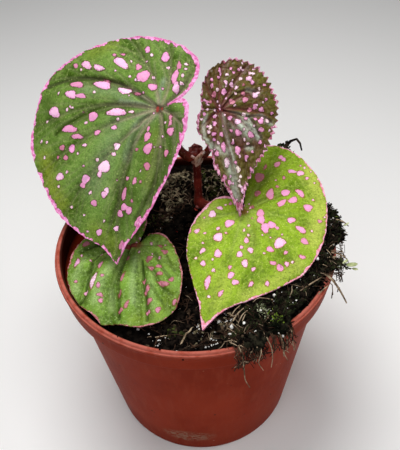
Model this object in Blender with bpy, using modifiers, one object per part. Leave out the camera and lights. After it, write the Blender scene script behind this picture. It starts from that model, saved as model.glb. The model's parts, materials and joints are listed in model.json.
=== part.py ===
# A potted begonia: a plastic nursery pot with soil, a mat of moss over its rim, a stem and four leaves.
# Lengths below are in millimetres, +Z is up and the origin is the middle of the pot's underside.

import math
import random

import bmesh
import bpy
import numpy as np
from mathutils import Vector, noise

MM = 0.001  # metres in a millimetre
GAP = 0.3  # between neighbouring pieces
WELD = 0.01  # points nearer than this are one

# Driving sizes of the pot
POT_HEIGHT = 100.0
LIP_RADIUS = 60.0
COLLAR_HEIGHT = 11.2
COLLAR_TAPER = 1.4
BODY_TOP_RADIUS = 55.0
BASE_RADIUS = 42.5
WALL = 1.5
FLOOR = 2.8
FOOT_RECESS = 1.6
PAD_RADIUS = 12.0
HOLE_RADIUS = 3.6
HOLE_CIRCLE = 26.0
HOLES = 8
POT_SIDES = 72

# Driving sizes of the soil and of the moss mat
SOIL_LEVEL = 86.0
SOIL_RISE = 11.0
SOIL_RISE_FROM = 4.0
SOIL_RISE_TO = 50.0
SOIL_RISE_ANGLE = math.radians(-28)
BACK_RISE = 9.5
BACK_RISE_FROM = 34.0
BACK_RISE_TO = 52.6
BACK_RISE_ANGLE = math.radians(80)
SOIL_RADIUS = 52.6
SOIL_SPREAD = 3.8  # how much wider the raised soil is, above the step inside the pot
SPREAD_FROM = 90.0
SPREAD_TO = 93.0
SOIL_LUMPS = 1.1
SOIL_SIDES = 48
SOIL_RINGS = 11
MAT_FROM = math.radians(-80)
MAT_TO = math.radians(62)
MAT_REACH = 8.4
MAT_COLUMNS = 44
MAT_RADII = (31.0, 35.0, 39.0, 43.0, 47.0, 50.5)  # where the mat lies on the soil
OVER_LIP = len(MAT_RADII) + 1  # the mat's corner that lies over the inner side of the lip
MAT_THIN = 0.9
MAT_BODY = 1.7
SPILLS = (  # where the mat hangs over the lip: bearing and width in degrees, and how far
    (-71.0, 7.0, 0.75),
    (-58.0, 4.5, 0.5),
    (5.0, 11.0, 1.0),
    (-20.0, 4.0, 0.35),
    (49.0, 6.0, 0.45),
)
ROOTS = (-74.0, -70.5, -67.0, -60.5, -56.0, 0.0, 7.0, 12.0)  # bearings of the hanging roots
ROOT_RADII = (0.55, 0.5, 0.45, 0.35)
SPRIGS = (  # bearing, distance from the axis, lean and number of shoots
    (math.radians(46), 60.0, Vector((5.0, 6.4, 8.5)), 8),
    (math.radians(-18), 59.5, Vector((5.6, -2.8, 0.8)), 6),
)
SHOOT_RADII = (1.3, 1.0, 0.4)
HEADROOM = 0.8  # under the leaf that lies over the mat

# Driving sizes of the stem and the leaves
STEM_FOOT = Vector((2.5, 30.5, 76.0))
STEM_TOP = Vector((2.6, 33.0, 124.0))
STEM_RADIUS = 1.85
STEM_STATIONS = 22
LOW_NODE = 94.0
HIGH_NODE = 121.5
NODE_SWELL = 0.45
SCALES = (  # bearing in degrees, height of the foot, length and reach from the stem's axis
    (222.0, 113.6, 4.6, 3.9),
    (-38.0, 113.8, 5.2, 4.3),
    (95.0, 114.5, 4.2, 3.6),
)
SCALE_RADII = (1.0, 1.4, 1.2, 0.35)
SCALE_BREADTH = 1.6
HOLE_PLAY = 0.25  # around the stem in its hole, besides the gap
HOLE_DEPTH = 40.0
PETIOLE_STATIONS = 14
PETIOLE_PLAY = 0.1  # under its blade, besides the gap
BLADE = 0.9  # thickness of a blade

# Colours as linear red, green and blue
POT_COLOUR = (0.135, 0.027, 0.012)
SOIL_COLOUR = (0.012, 0.008, 0.006)
MOSS_COLOUR = (0.030, 0.034, 0.016)
STEM_COLOUR = (0.085, 0.010, 0.008)
LEAF_COLOURS = {
    "leaf_a": (0.085, 0.170, 0.050),
    "leaf_b": (0.060, 0.065, 0.018),
    "leaf_c": (0.260, 0.400, 0.045),
    "leaf_d": (0.230, 0.370, 0.100),
}


# Clearing the scene

for old in list(bpy.data.objects):
    bpy.data.objects.remove(old, do_unlink=True)

parts = bpy.data.collections.new("potted_begonia")
helpers = bpy.data.collections.new("helpers")
for group in (parts, helpers):
    bpy.context.scene.collection.children.link(group)

plant = bpy.data.objects.new("plant", None)
parts.objects.link(plant)


# Helpers


def make_material(name, colour, roughness):
    material = bpy.data.materials.new(name)
    material.use_nodes = True
    shader = material.node_tree.nodes["Principled BSDF"]
    shader.inputs["Base Color"].default_value = (*colour, 1.0)
    shader.inputs["Roughness"].default_value = roughness
    shader.inputs["Metallic"].default_value = 0.0
    return material


def finish(name, mesh, colour=None, roughness=0.5, group=parts, smooth_angle=50.0):
    """Turns a bmesh in millimetres into an object, with its material and smooth shading."""
    data = bpy.data.meshes.new(name)
    bmesh.ops.scale(mesh, vec=(MM, MM, MM), verts=mesh.verts)
    mesh.to_mesh(data)
    mesh.free()
    data.shade_smooth()
    data.set_sharp_from_angle(angle=math.radians(smooth_angle))
    obj = bpy.data.objects.new(name, data)
    group.objects.link(obj)
    if group is helpers:
        obj.hide_render = True
        obj.display_type = "WIRE"
    else:
        data.materials.append(make_material(name, colour, roughness))
        obj.parent = plant
    return obj


def mesh_of_curve(route, radii, sides=2):
    """A tube along a route in millimetres, as a mesh whose caps are welded."""
    curve = bpy.data.curves.new("tube", "CURVE")
    curve.dimensions = "3D"
    curve.bevel_depth = MM
    curve.bevel_resolution = sides
    curve.use_fill_caps = True
    spline = curve.splines.new("POLY")
    spline.points.add(len(route) - 1)
    for point, place, radius in zip(spline.points, route, radii):
        point.co = (*(Vector(place) * MM), 1.0)
        point.radius = radius
    guide = bpy.data.objects.new("tube", curve)
    helpers.objects.link(guide)
    bpy.context.view_layer.update()
    graph = bpy.context.evaluated_depsgraph_get()
    data = bpy.data.meshes.new_from_object(guide.evaluated_get(graph))
    mesh = bmesh.new()
    mesh.from_mesh(data)
    bmesh.ops.scale(mesh, vec=(1 / MM, 1 / MM, 1 / MM), verts=mesh.verts)
    bmesh.ops.remove_doubles(mesh, verts=mesh.verts, dist=WELD)
    bmesh.ops.recalc_face_normals(mesh, faces=mesh.faces)
    bpy.data.objects.remove(guide)
    bpy.data.meshes.remove(data)
    return mesh


def keep_outside(data):
    """Keeps the largest closed shell of a joined mesh, so that a hollow sealed by joining is filled."""
    mesh = bmesh.new()
    mesh.from_mesh(data)
    left = set(mesh.faces)
    shells = []
    while left:
        shell = [left.pop()]
        for face in shell:
            for edge in face.edges:
                for other in edge.link_faces:
                    if other in left:
                        left.remove(other)
                        shell.append(other)
        shells.append(shell)
    shells.sort(key=len)
    for shell in shells[:-1]:
        bmesh.ops.delete(mesh, geom=shell, context="FACES")
    mesh.to_mesh(data)
    mesh.free()


def union(obj, pieces):
    """Joins helper pieces to an object with one Boolean union on a collection, and removes them."""
    group = bpy.data.collections.new(obj.name + "_joined")
    bpy.context.scene.collection.children.link(group)
    for piece in pieces:
        helpers.objects.unlink(piece)
        group.objects.link(piece)
    joint = obj.modifiers.new("joined", "BOOLEAN")
    joint.operation = "UNION"
    joint.operand_type = "COLLECTION"
    joint.collection = group
    joint.solver = "EXACT"
    bpy.context.view_layer.update()
    graph = bpy.context.evaluated_depsgraph_get()
    data = bpy.data.meshes.new_from_object(obj.evaluated_get(graph))
    obj.modifiers.clear()
    keep_outside(data)
    obj.data = data
    for piece in list(group.objects):
        bpy.data.objects.remove(piece, do_unlink=True)
    bpy.data.collections.remove(group)


def cut(obj, cutter, name):
    hole = obj.modifiers.new(name, "BOOLEAN")
    hole.operation = "DIFFERENCE"
    hole.object = cutter
    hole.solver = "EXACT"


def ease(value):
    """0 below 0, 1 above 1, and a smooth step between."""
    value = min(1.0, max(0.0, value))
    return value * value * (3 - 2 * value)


def mix(low, high, share):
    return low + (high - low) * share


def arc_route(start, leaving, end, arriving, reach, count):
    """Points on a cubic curve that leaves the start and arrives at the end in given directions."""
    start, end = Vector(start), Vector(end)
    pull = (end - start).length * reach
    first = start + Vector(leaving).normalized() * pull
    last = end - Vector(arriving).normalized() * pull
    route = []
    for i in range(count):
        t = i / (count - 1)
        s = 1 - t
        route.append(start * s**3 + first * 3 * s * s * t + last * 3 * s * t * t + end * t**3)
    return route


# Pot


def pot_profile():
    """The pot's section, from its axis across the underside, up outside, over the lip and down inside."""
    collar_foot = POT_HEIGHT - COLLAR_HEIGHT
    collar_radius = LIP_RADIUS - COLLAR_TAPER
    foot_inner = BASE_RADIUS - 4.0
    lip_inner = LIP_RADIUS - WALL
    return [
        (0.0, 0.0),
        (PAD_RADIUS, 0.0),
        (PAD_RADIUS + 1.0, FOOT_RECESS),
        (foot_inner - 0.9, FOOT_RECESS),
        (foot_inner, 0.0),
        (BASE_RADIUS - 0.8, 0.0),
        (BASE_RADIUS + 0.2, 0.8),
        (BASE_RADIUS + 0.7, 2.2),
        (BODY_TOP_RADIUS, collar_foot - 1.4),
        (BODY_TOP_RADIUS + 0.4, collar_foot - 0.7),
        (collar_radius - 0.5, collar_foot),
        (collar_radius, collar_foot + 0.5),
        (LIP_RADIUS - 0.75, POT_HEIGHT - 3.2),
        (LIP_RADIUS - 0.2, POT_HEIGHT - 2.5),
        (LIP_RADIUS, POT_HEIGHT - 1.6),
        (LIP_RADIUS - 0.15, POT_HEIGHT - 0.85),
        (LIP_RADIUS - 0.7, POT_HEIGHT - 0.25),
        (LIP_RADIUS - 1.5, POT_HEIGHT),
        (lip_inner - 0.9, POT_HEIGHT - 0.2),
        (lip_inner - 1.5, POT_HEIGHT - 1.2),
        (lip_inner - 1.2, POT_HEIGHT - 3.0),
        (collar_radius - WALL, collar_foot + 1.4),
        (BODY_TOP_RADIUS - WALL - 0.1, collar_foot - 1.8),
        (BASE_RADIUS - WALL + 0.4, FLOOR + 2.2),
        (BASE_RADIUS - 3.4, FLOOR),
        (0.0, FLOOR),
    ]


def build_pot():
    profile = bmesh.new()
    corners = [profile.verts.new((radius, 0.0, height)) for radius, height in pot_profile()]
    for pair in zip(corners, corners[1:]):
        profile.edges.new(pair)
    pot = finish("pot", profile, POT_COLOUR, 0.42, smooth_angle=35)
    turn = pot.modifiers.new("turn", "SCREW")
    turn.steps = POT_SIDES
    turn.render_steps = POT_SIDES
    turn.use_merge_vertices = True
    turn.merge_threshold = WELD * MM
    turn.use_normal_calculate = True
    drill = bmesh.new()
    for i in range(HOLES):
        angle = 2 * math.pi * (i + 0.5) / HOLES
        made = bmesh.ops.create_cone(
            drill, cap_ends=True, segments=12, radius1=HOLE_RADIUS, radius2=HOLE_RADIUS, depth=FLOOR * 4
        )
        shift = (HOLE_CIRCLE * math.cos(angle), HOLE_CIRCLE * math.sin(angle), FLOOR / 2)
        bmesh.ops.translate(drill, vec=shift, verts=made["verts"])
    cut(pot, finish("drain_holes", drill, group=helpers), "drain_holes")
    return pot


# Soil


def slope(x, y, angle, start, end):
    """0 to 1 across the pot in one direction, between two distances from its axis."""
    along = x * math.cos(angle) + y * math.sin(angle)
    return ease((along - start) / (end - start))


def ground(x, y):
    """Height of the soil's smooth surface: level at the left, rising to the front right and to the back."""
    right = SOIL_RISE * slope(x, y, SOIL_RISE_ANGLE, SOIL_RISE_FROM, SOIL_RISE_TO)
    back = BACK_RISE * slope(x, y, BACK_RISE_ANGLE, BACK_RISE_FROM, BACK_RISE_TO)
    return SOIL_LEVEL + math.hypot(right, back)


def soil_reach(angle):
    """The soil's radius at its rim, which is wider where it is heaped above the pot's inner step."""
    level = ground(SOIL_RADIUS * math.cos(angle), SOIL_RADIUS * math.sin(angle))
    return SOIL_RADIUS + SOIL_SPREAD * ease((level - SPREAD_FROM) / (SPREAD_TO - SPREAD_FROM))


def lump(x, y):
    """Peat lumps, from nothing to twice SOIL_LUMPS high."""
    fine = noise.noise(Vector((x / 7.0, y / 7.0, 3.1)))
    broad = noise.noise(Vector((x / 17.0, y / 17.0, 8.4)))
    return SOIL_LUMPS * (1 + 0.65 * fine + 0.6 * broad)


def mapped_grid(columns, rows, place, weigh=None):
    """A grid whose points are placed by their column and row, with coinciding points merged."""
    mesh = bmesh.new()
    weight = mesh.verts.layers.float.new("weight")
    bmesh.ops.create_grid(mesh, x_segments=columns, y_segments=rows, size=0.5)
    for vert in mesh.verts:
        column = round((vert.co.x + 0.5) * columns)
        row = round((vert.co.y + 0.5) * rows)
        vert.co = place(column, row)
        vert[weight] = weigh(column, row) if weigh else 0.0
    bmesh.ops.remove_doubles(mesh, verts=mesh.verts, dist=0.001)
    return mesh


def build_soil():
    def place(column, row):
        angle = 2 * math.pi * column / SOIL_SIDES
        radius = soil_reach(angle) * (1 - row / SOIL_RINGS)
        x, y = radius * math.cos(angle), radius * math.sin(angle)
        height = ground(x, y) + (lump(x, y) if row else SOIL_LUMPS)
        return (x, y, height)

    mesh = mapped_grid(SOIL_SIDES, SOIL_RINGS, place)
    rim = [edge for edge in mesh.edges if edge.is_boundary]
    steps = (
        (SOIL_RADIUS, SOIL_LEVEL + 0.5),
        (BODY_TOP_RADIUS - WALL - GAP - 0.5, POT_HEIGHT - COLLAR_HEIGHT - 3.5),
        (BASE_RADIUS - WALL + 0.4 - GAP - 0.1, FLOOR + 2.4),
        (BASE_RADIUS - 3.4 - GAP, FLOOR + GAP),
    )
    for radius, height in steps:
        made = bmesh.ops.extrude_edge_only(mesh, edges=rim)["geom"]
        rim = [item for item in made if isinstance(item, bmesh.types.BMEdge)]
        for vert in [item for item in made if isinstance(item, bmesh.types.BMVert)]:
            flat = Vector((vert.co.x, vert.co.y)).normalized() * radius
            vert.co = (flat.x, flat.y, height)
    bmesh.ops.contextual_create(mesh, geom=rim)
    bmesh.ops.recalc_face_normals(mesh, faces=mesh.faces)
    soil = finish("soil", mesh, SOIL_COLOUR, 0.95)
    socket = bmesh.new()
    width = STEM_RADIUS + GAP + HOLE_PLAY
    bmesh.ops.create_cone(socket, cap_ends=True, segments=16, radius1=width, radius2=width, depth=HOLE_DEPTH)
    middle = STEM_FOOT + Vector((0, 0, HOLE_DEPTH / 2 - GAP))
    bmesh.ops.translate(socket, vec=middle, verts=socket.verts)
    cut(soil, finish("stem_hole", socket, group=helpers), "stem_hole")
    return soil


# Moss mat


def mat_edge(angle):
    """0 at the mat's two ends and 1 along its middle."""
    return ease((angle - MAT_FROM) / 0.35) * ease((MAT_TO - angle) / 0.6)


def spill(angle):
    """How far the mat hangs over the lip: 0 where it ends inside, 1 in the middle of a spill."""
    shares = [tall * math.exp(-(((math.degrees(angle) - at) / wide) ** 2)) for at, wide, tall in SPILLS]
    return min(1.0, sum(shares))


def mat_path(angle):
    """Underside of the mat at one angle, from the soil over the lip and down outside, as radius and height."""
    route = []
    for radius in MAT_RADII:
        x, y = radius * math.cos(angle), radius * math.sin(angle)
        route.append((radius, ground(x, y) + 2 * SOIL_LUMPS + GAP))
    clear = POT_HEIGHT + 2 * GAP
    route.append((54.4, mix(route[-1][1], clear, 0.6)))
    route.append((57.0, clear))
    route.append((60.0, clear))
    route += [(LIP_RADIUS + 0.9, POT_HEIGHT - 1.4 - drop) for drop in (0.0, 2.8, 5.6, MAT_REACH)]
    return route


def build_moss(roof):
    angles = [mix(MAT_FROM, MAT_TO, i / MAT_COLUMNS) for i in range(MAT_COLUMNS + 1)]
    paths = []
    for angle in angles:
        path = mat_path(angle)
        steps = [math.dist(a, b) for a, b in zip(path, path[1:])]
        lengths = [sum(steps[:i]) for i in range(len(path))]
        ragged = noise.noise(Vector((angle * 6.0, 0.0, 2.7)))
        at_lip = lengths[OVER_LIP]
        start = mix(at_lip - 5.0, 1.5, mat_edge(angle)) + 2.5 * ragged * mat_edge(angle)
        stop = at_lip - 0.6 + spill(angle) * (lengths[-1] - at_lip) * (0.85 + 0.3 * ragged)
        paths.append((path, lengths, start, min(stop, lengths[-1])))
    rows = len(paths[0][0]) - 1

    def along(column, row):
        path, lengths, start, stop = paths[column]
        return min(stop, max(start, lengths[row]))

    def place(column, row):
        path, lengths, start, stop = paths[column]
        reach = along(column, row)
        radius = float(np.interp(reach, lengths, [corner[0] for corner in path]))
        height = float(np.interp(reach, lengths, [corner[1] for corner in path]))
        return (radius * math.cos(angles[column]), radius * math.sin(angles[column]), height)

    def body(column, row):
        path, lengths, start, stop = paths[column]
        reach = along(column, row)
        return ease((reach - start) / 7.0) * ease((stop - reach + 0.6) / 3.0)

    mesh = mapped_grid(MAT_COLUMNS, rows, place, body)
    layer = mesh.verts.layers.float["weight"]
    made = bmesh.ops.extrude_face_region(mesh, geom=list(mesh.faces))["geom"]
    for vert in [item for item in made if isinstance(item, bmesh.types.BMVert)]:
        tuft = noise.noise(vert.co / 5.5 + Vector((0, 0, 11)))
        broad = noise.noise(vert.co / 13.0 + Vector((5, 0, 0)))
        thick = MAT_THIN + vert[layer] * (MAT_BODY + 1.2 * tuft + 0.9 * broad)
        radius = math.hypot(vert.co.x, vert.co.y)
        tilt = ease((radius - 58.0) / 3.2) * math.radians(78)
        out = Vector((vert.co.x, vert.co.y, 0)).normalized()
        vert.co += (out * math.sin(tilt) + Vector((0, 0, math.cos(tilt)))) * thick
        room = roof.headroom(vert.co)
        if room is not None and room < HEADROOM:
            vert.co.z -= HEADROOM - room
    bmesh.ops.recalc_face_normals(mesh, faces=mesh.faces)
    moss = finish("moss_mat", mesh, MOSS_COLOUR, 0.95)

    pieces = hanging_roots(random.Random(31)) + sprig_shoots(random.Random(32))
    union(moss, pieces)
    return moss


def hanging_roots(dice):
    """Roots that come out over the lip and hang down in front of the collar."""
    pieces = []
    over = POT_HEIGHT + 1.3
    bend = POT_HEIGHT - 2.2
    for bearing in ROOTS:
        turn = dice.uniform(-0.09, 0.09)
        foot = bend - dice.uniform(4.0, 9.5)
        stations = (
            (LIP_RADIUS - 4.5, over, 0.0),
            (LIP_RADIUS + 1.6, over, 0.4),
            (LIP_RADIUS + 4.0, bend, 0.8),
            (LIP_RADIUS + 4.0 + dice.uniform(-0.6, 1.5), foot, 1.0),
        )
        route = []
        for radius, height, share in stations:
            angle = math.radians(bearing) + turn * share
            route.append((radius * math.cos(angle), radius * math.sin(angle), height))
        pieces.append(finish("root", mesh_of_curve(route, ROOT_RADII, sides=0), group=helpers))
    return pieces


def sprig_shoots(dice):
    """Shoots that stand up from the mat in two bunches."""
    pieces = []
    for bearing, radius, lean, shoots in SPRIGS:
        root = Vector((radius * math.cos(bearing), radius * math.sin(bearing), POT_HEIGHT + 1.4))
        for i in range(shoots):
            spread = Vector((dice.uniform(-3.2, 3.2), dice.uniform(-3.2, 3.2), dice.uniform(-1.5, 1.5)))
            base = root + Vector((spread.x * 0.5, spread.y * 0.5, 0))
            end = root + lean * dice.uniform(0.6, 1.0) + spread
            route = [base, base.lerp(end, 0.5) + Vector((0, 0, 0.8)), end]
            pieces.append(finish("shoot", mesh_of_curve(route, SHOOT_RADII, sides=0), group=helpers))
    return pieces


# Stem


def stem_axis(height):
    share = (height - STEM_FOOT.z) / (STEM_TOP.z - STEM_FOOT.z)
    return STEM_FOOT.lerp(STEM_TOP, share)


def build_stem():
    route = []
    radii = []
    for i in range(STEM_STATIONS):
        height = mix(STEM_FOOT.z, STEM_TOP.z, i / (STEM_STATIONS - 1))
        swell = sum(math.exp(-(((height - node) / 2.6) ** 2)) for node in (LOW_NODE, HIGH_NODE))
        route.append(stem_axis(height))
        radii.append(STEM_RADIUS + NODE_SWELL * swell)
    radii[-1] *= 0.55
    stem = finish("stem", mesh_of_curve(route, radii, sides=2), STEM_COLOUR, 0.35)
    union(stem, [leaf_scale(*scale) for scale in SCALES])
    return stem


def leaf_scale(bearing, foot, length, reach):
    """A broad scale that clasps the stem below a petiole and leans out at its top."""
    angle = math.radians(bearing)
    out = Vector((math.cos(angle), math.sin(angle), 0))
    side = Vector((-math.sin(angle), math.cos(angle), 0))
    base = stem_axis(foot)
    route = [
        base + out * 0.8,
        base + out * mix(0.8, reach, 0.5) + Vector((0, 0, length * 0.3)),
        base + out * mix(0.8, reach, 0.85) + Vector((0, 0, length * 0.7)),
        base + out * reach + Vector((0, 0, length)),
    ]
    tube = mesh_of_curve(route, SCALE_RADII, sides=1)
    for vert in tube.verts:
        vert.co += side * (vert.co - base).dot(side) * (SCALE_BREADTH - 1)
    return finish("scale", tube, group=helpers)


# Leaf blades

# Each blade is given in its own plane: u runs from the petiole to the tip, v to the right of it.
# The left edge runs from the notch at the petiole round the far side to the tip, and the right edge goes
# on from the tip back to the notch. A vein is a point it passes through and the point where it ends.

LEAVES = {
    "leaf_a": {
        "petiole": (-11.6, 26.0, 150.0),
        "tip": (-31.5, -18.2, 107.0),
        "facing": (-0.30, -0.55, 0.80),
        "curl": (0.0012, 0.0008, 0.0015, 0.020),
        "puff": 0.085,
        "rings": 8,
        "spacing": 5.4,
        "teeth": 0.0,
        "left": [
            (-7.0, 8.2), (-10.4, 10.2), (-14.6, 11.6), (-19.2, 11.8), (-23.2, 10.2), (-26.0, 6.4),
            (-27.9, 0.2), (-29.0, -7.0), (-28.8, -15.0), (-27.0, -25.2), (-22.8, -35.4),
            (-17.7, -45.0), (-11.0, -53.2), (-4.0, -58.3), (3.0, -60.1), (12.0, -59.8),
            (22.2, -59.5), (30.5, -55.4), (37.4, -50.3), (44.6, -43.0), (50.9, -36.4),
            (55.0, -28.8), (58.0, -20.7), (59.6, -12.6), (62.4, -7.2), (65.4, -2.5),
        ],
        "right": [
            (65.4, -2.5), (61.0, -1.0), (56.0, 0.6), (50.0, 3.5), (42.0, 6.5), (33.7, 8.8), (25.0, 10.8),
            (15.0, 12.3), (6.0, 12.7), (0.0, 12.2), (-3.0, 10.9), (-4.5, 9.2), (-4.6, 7.2),
        ],
        "veins": [
            ((-12.0, 8.0), (-22.8, 10.4)), ((-14.0, 1.0), (-28.6, -4.5)), ((-12.0, -6.2), (-27.4, -23.5)),
            ((-7.6, -24.0), (-4.0, -58.3)), ((2.2, -24.0), (18.0, -59.7)), ((16.0, -28.0), (37.4, -50.3)),
            ((22.0, -17.0), (53.0, -32.8)), ((24.0, -8.0), (65.4, -2.5)), ((14.0, 4.6), (46.0, 5.1)),
            ((2.0, 7.0), (6.0, 12.7)),
        ],
    },
    "leaf_b": {
        "petiole": (13.4, 31.3, 145.0),
        "tip": (19.5, 0.9, 113.5),
        "facing": (0.10, -0.60, 0.75),
        "curl": (0.001, 0.002, 0.002, 0.003),
        "puff": 0.115,
        "rings": 6,
        "spacing": 2.0,
        "teeth": 0.055,
        "left": [
            (-0.6, -8.0), (2.4, -10.4), (8.0, -10.7), (13.0, -9.2), (17.6, -6.6), (23.6, -6.9),
            (31.0, -4.2), (37.5, -2.0), (44.7, 0.3),
        ],
        "right": [
            (44.7, 0.3), (38.0, 3.2), (31.5, 6.2), (26.0, 10.6), (22.2, 14.8), (17.2, 18.4), (10.0, 22.6),
            (2.0, 24.6), (-6.0, 23.8), (-13.0, 20.6), (-17.6, 16.4), (-19.8, 10.0), (-18.8, 2.5),
            (-15.0, -3.0), (-8.5, -6.4), (-1.8, -7.2),
        ],
        "veins": [
            ((3.6, -5.6), (8.0, -10.7)), ((11.0, -4.6), (21.0, -6.6)), ((20.0, 0.6), (44.7, 0.3)),
            ((18.0, 6.6), (31.5, 6.2)), ((8.5, 9.0), (22.2, 14.8)), ((2.6, 12.0), (8.0, 23.3)),
            ((-4.0, 12.0), (-6.0, 23.8)), ((-9.0, 7.5), (-17.6, 16.4)), ((-9.5, 1.5), (-19.4, 5.5)),
            ((-6.0, -2.8), (-13.4, -4.2)),
        ],
    },
    "leaf_c": {
        "petiole": (21.3, 7.0, 109.0),
        "tip": (1.4, -47.4, 100.0),
        "facing": (-0.12, -0.32, 0.94),
        "curl": (0.0008, 0.0005, 0.002, 0.0015),
        "puff": 0.035,
        "rings": 7,
        "spacing": 5.0,
        "teeth": 0.0,
        "left": [
            (-3.4, -1.1), (-5.4, -4.2), (-6.2, -8.8), (-3.9, -13.6), (2.0, -16.9), (9.0, -19.0),
            (16.2, -19.2), (25.0, -17.4), (33.0, -13.7), (41.0, -9.0), (48.0, -4.8), (53.4, -2.5),
            (58.2, -0.2),
        ],
        "right": [
            (58.2, -0.2), (54.6, 1.7), (50.0, 4.3), (45.0, 8.8), (40.4, 15.2), (35.0, 21.5), (29.0, 27.8),
            (23.2, 31.9), (14.4, 34.9), (6.2, 35.9), (-3.9, 35.3), (-14.2, 33.1), (-22.3, 29.9),
            (-29.2, 25.0), (-35.8, 18.2), (-40.2, 11.0), (-41.3, 4.2), (-39.4, -1.8), (-34.5, -5.6),
        ],
        "veins": [
            ((5.0, -9.0), (9.0, -19.0)), ((16.0, -8.0), (29.0, -15.7)), ((24.0, 0.8), (58.2, -0.2)),
            ((18.0, 9.0), (42.6, 12.0)), ((10.0, 14.0), (25.0, 30.8)), ((-1.0, 16.0), (1.0, 35.7)),
            ((-12.0, 12.0), (-25.8, 27.6)), ((-17.0, 3.0), (-40.8, 7.6)),
        ],
    },
    "leaf_d": {
        "petiole": (-24.4, -0.8, 99.5),
        "tip": (-37.7, -37.9, 93.5),
        "facing": (-0.12, -0.20, 0.97),
        "curl": (0.002, 0.002, 0.003, 0.003),
        "puff": 0.15,
        "rings": 8,
        "spacing": 3.9,
        "teeth": 0.0,
        "left": [
            (-8.6, 0.2), (-13.4, -0.6), (-16.3, -3.4), (-16.0, -8.8), (-12.7, -14.8), (-6.4, -21.2),
            (0.2, -25.0), (9.3, -27.6), (16.6, -26.6), (22.6, -23.9), (28.4, -19.4), (33.0, -13.6),
            (36.0, -7.0), (39.4, -1.4),
        ],
        "right": [
            (39.4, -1.4), (37.6, 3.8), (37.0, 10.6), (35.0, 17.2), (31.4, 22.2), (26.6, 24.9), (20.6, 25.4),
            (12.5, 24.2), (6.6, 21.9), (0.2, 17.6), (-4.9, 13.2), (-7.7, 8.2), (-6.6, 2.8),
        ],
        "veins": [
            ((-8.0, -5.0), (-15.8, -9.6)), ((-2.0, -11.0), (-3.0, -23.3)), ((7.0, -13.0), (14.0, -27.2)),
            ((14.0, -14.8), (31.4, -15.6)), ((14.0, -4.0), (38.0, 2.6)), ((15.0, 6.6), (36.2, 13.6)),
            ((11.0, 10.6), (25.0, 25.1)), ((4.0, 10.0), (8.0, 22.5)), ((-2.0, 7.0), (-4.9, 13.2)),
        ],
    },
}


def smooth_curve(points, steps=10):
    """Points along a smooth curve through all the given points."""
    points = np.array(points, float)
    padded = np.vstack([2 * points[0] - points[1], points, 2 * points[-1] - points[-2]])
    made = []
    for a, b, c, d in zip(padded, padded[1:], padded[2:], padded[3:]):
        for t in np.arange(steps) / steps:
            made.append(
                0.5 * (2 * b + (c - a) * t + (2 * a - 5 * b + 4 * c - d) * t**2 + (3 * b - a - 3 * c + d) * t**3)
            )
    made.append(points[-1])
    return np.array(made)


class Blade:
    """A blade as a fan about its petiole: a share round the margin and a share out from the petiole."""

    def __init__(self, shape):
        self.root = Vector(shape["petiole"])
        self.along = (Vector(shape["tip"]) - self.root).normalized()
        facing = Vector(shape["facing"])
        self.normal = (facing - facing.dot(self.along) * self.along).normalized()
        self.across = self.normal.cross(self.along)
        self.curl = shape["curl"]
        self.puff = shape["puff"]
        left = smooth_curve(shape["left"])
        right = smooth_curve(shape["right"])
        self.margin = np.vstack([left, right[1:]])
        lengths = np.linalg.norm(np.diff(self.margin, axis=0), axis=1)
        self.round_length = lengths.sum()
        self.shares = np.concatenate([[0.0], np.cumsum(lengths)]) / self.round_length
        self.angles = np.unwrap(np.arctan2(self.margin[:, 1], self.margin[:, 0]))
        self.veins = sorted(self.read_vein(*vein) for vein in shape["veins"])

    def read_vein(self, through, end):
        """The share where a vein ends, and how far its start is turned round from there."""
        share = self.shares[np.argmin(np.linalg.norm(self.margin - np.array(end), axis=1))]
        angle = math.atan2(through[1], through[0])
        while angle < self.angles[0]:
            angle += 2 * math.pi
        crossing = float(np.interp(angle, self.angles, self.shares))
        out = math.hypot(*through) / math.hypot(*self.edge(crossing))
        return float(share), (crossing - float(share)) / (1 - out)

    def edge(self, share):
        """The margin's point at a share of its length."""
        return (
            float(np.interp(share, self.shares, self.margin[:, 0])),
            float(np.interp(share, self.shares, self.margin[:, 1])),
        )

    def stops(self):
        return [0.0] + [share for share, _ in self.veins] + [1.0]

    def turned(self, share, out):
        """The share whose straight ray a curved vein meets at this distance out."""
        turns = [0.0] + [turn for _, turn in self.veins] + [0.0]
        return share + float(np.interp(share, self.stops(), turns)) * (1 - out)

    def relief(self, share, out):
        """The blade swells between its veins, most in the middle of each gap."""
        stops = self.stops()
        gap = max(1, int(np.searchsorted(stops, share)))
        low, high = stops[gap - 1], stops[gap]
        place = (share - low) / (high - low)
        width = (high - low) * self.round_length * out
        return self.puff * min(width, 17.0) * 4 * place * (1 - place) * (1 - 0.55 * out * out)

    def droop(self, u, v):
        to_tip, to_base, to_left, to_right = self.curl
        return -(to_tip if u > 0 else to_base) * u * u - (to_right if v > 0 else to_left) * v * v

    def point(self, share, out, reach=1.0):
        edge_u, edge_v = self.edge(self.turned(share, out))
        u, v = edge_u * out * reach, edge_v * out * reach
        height = self.droop(u, v) + self.relief(share, out)
        return self.root + self.along * u + self.across * v + self.normal * height

    def headroom(self, spot):
        """How far a spot lies under the blade, or None where the blade isn't over it."""
        offset = spot - self.root
        u, v = offset.dot(self.along), offset.dot(self.across)
        angle = math.atan2(v, u)
        while angle < self.angles[0]:
            angle += 2 * math.pi
        edge = self.edge(float(np.interp(angle, self.angles, self.shares)))
        if math.hypot(u, v) > math.hypot(*edge) + 2.5:
            return None
        return self.droop(u, v) - BLADE - offset.dot(self.normal)


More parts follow.
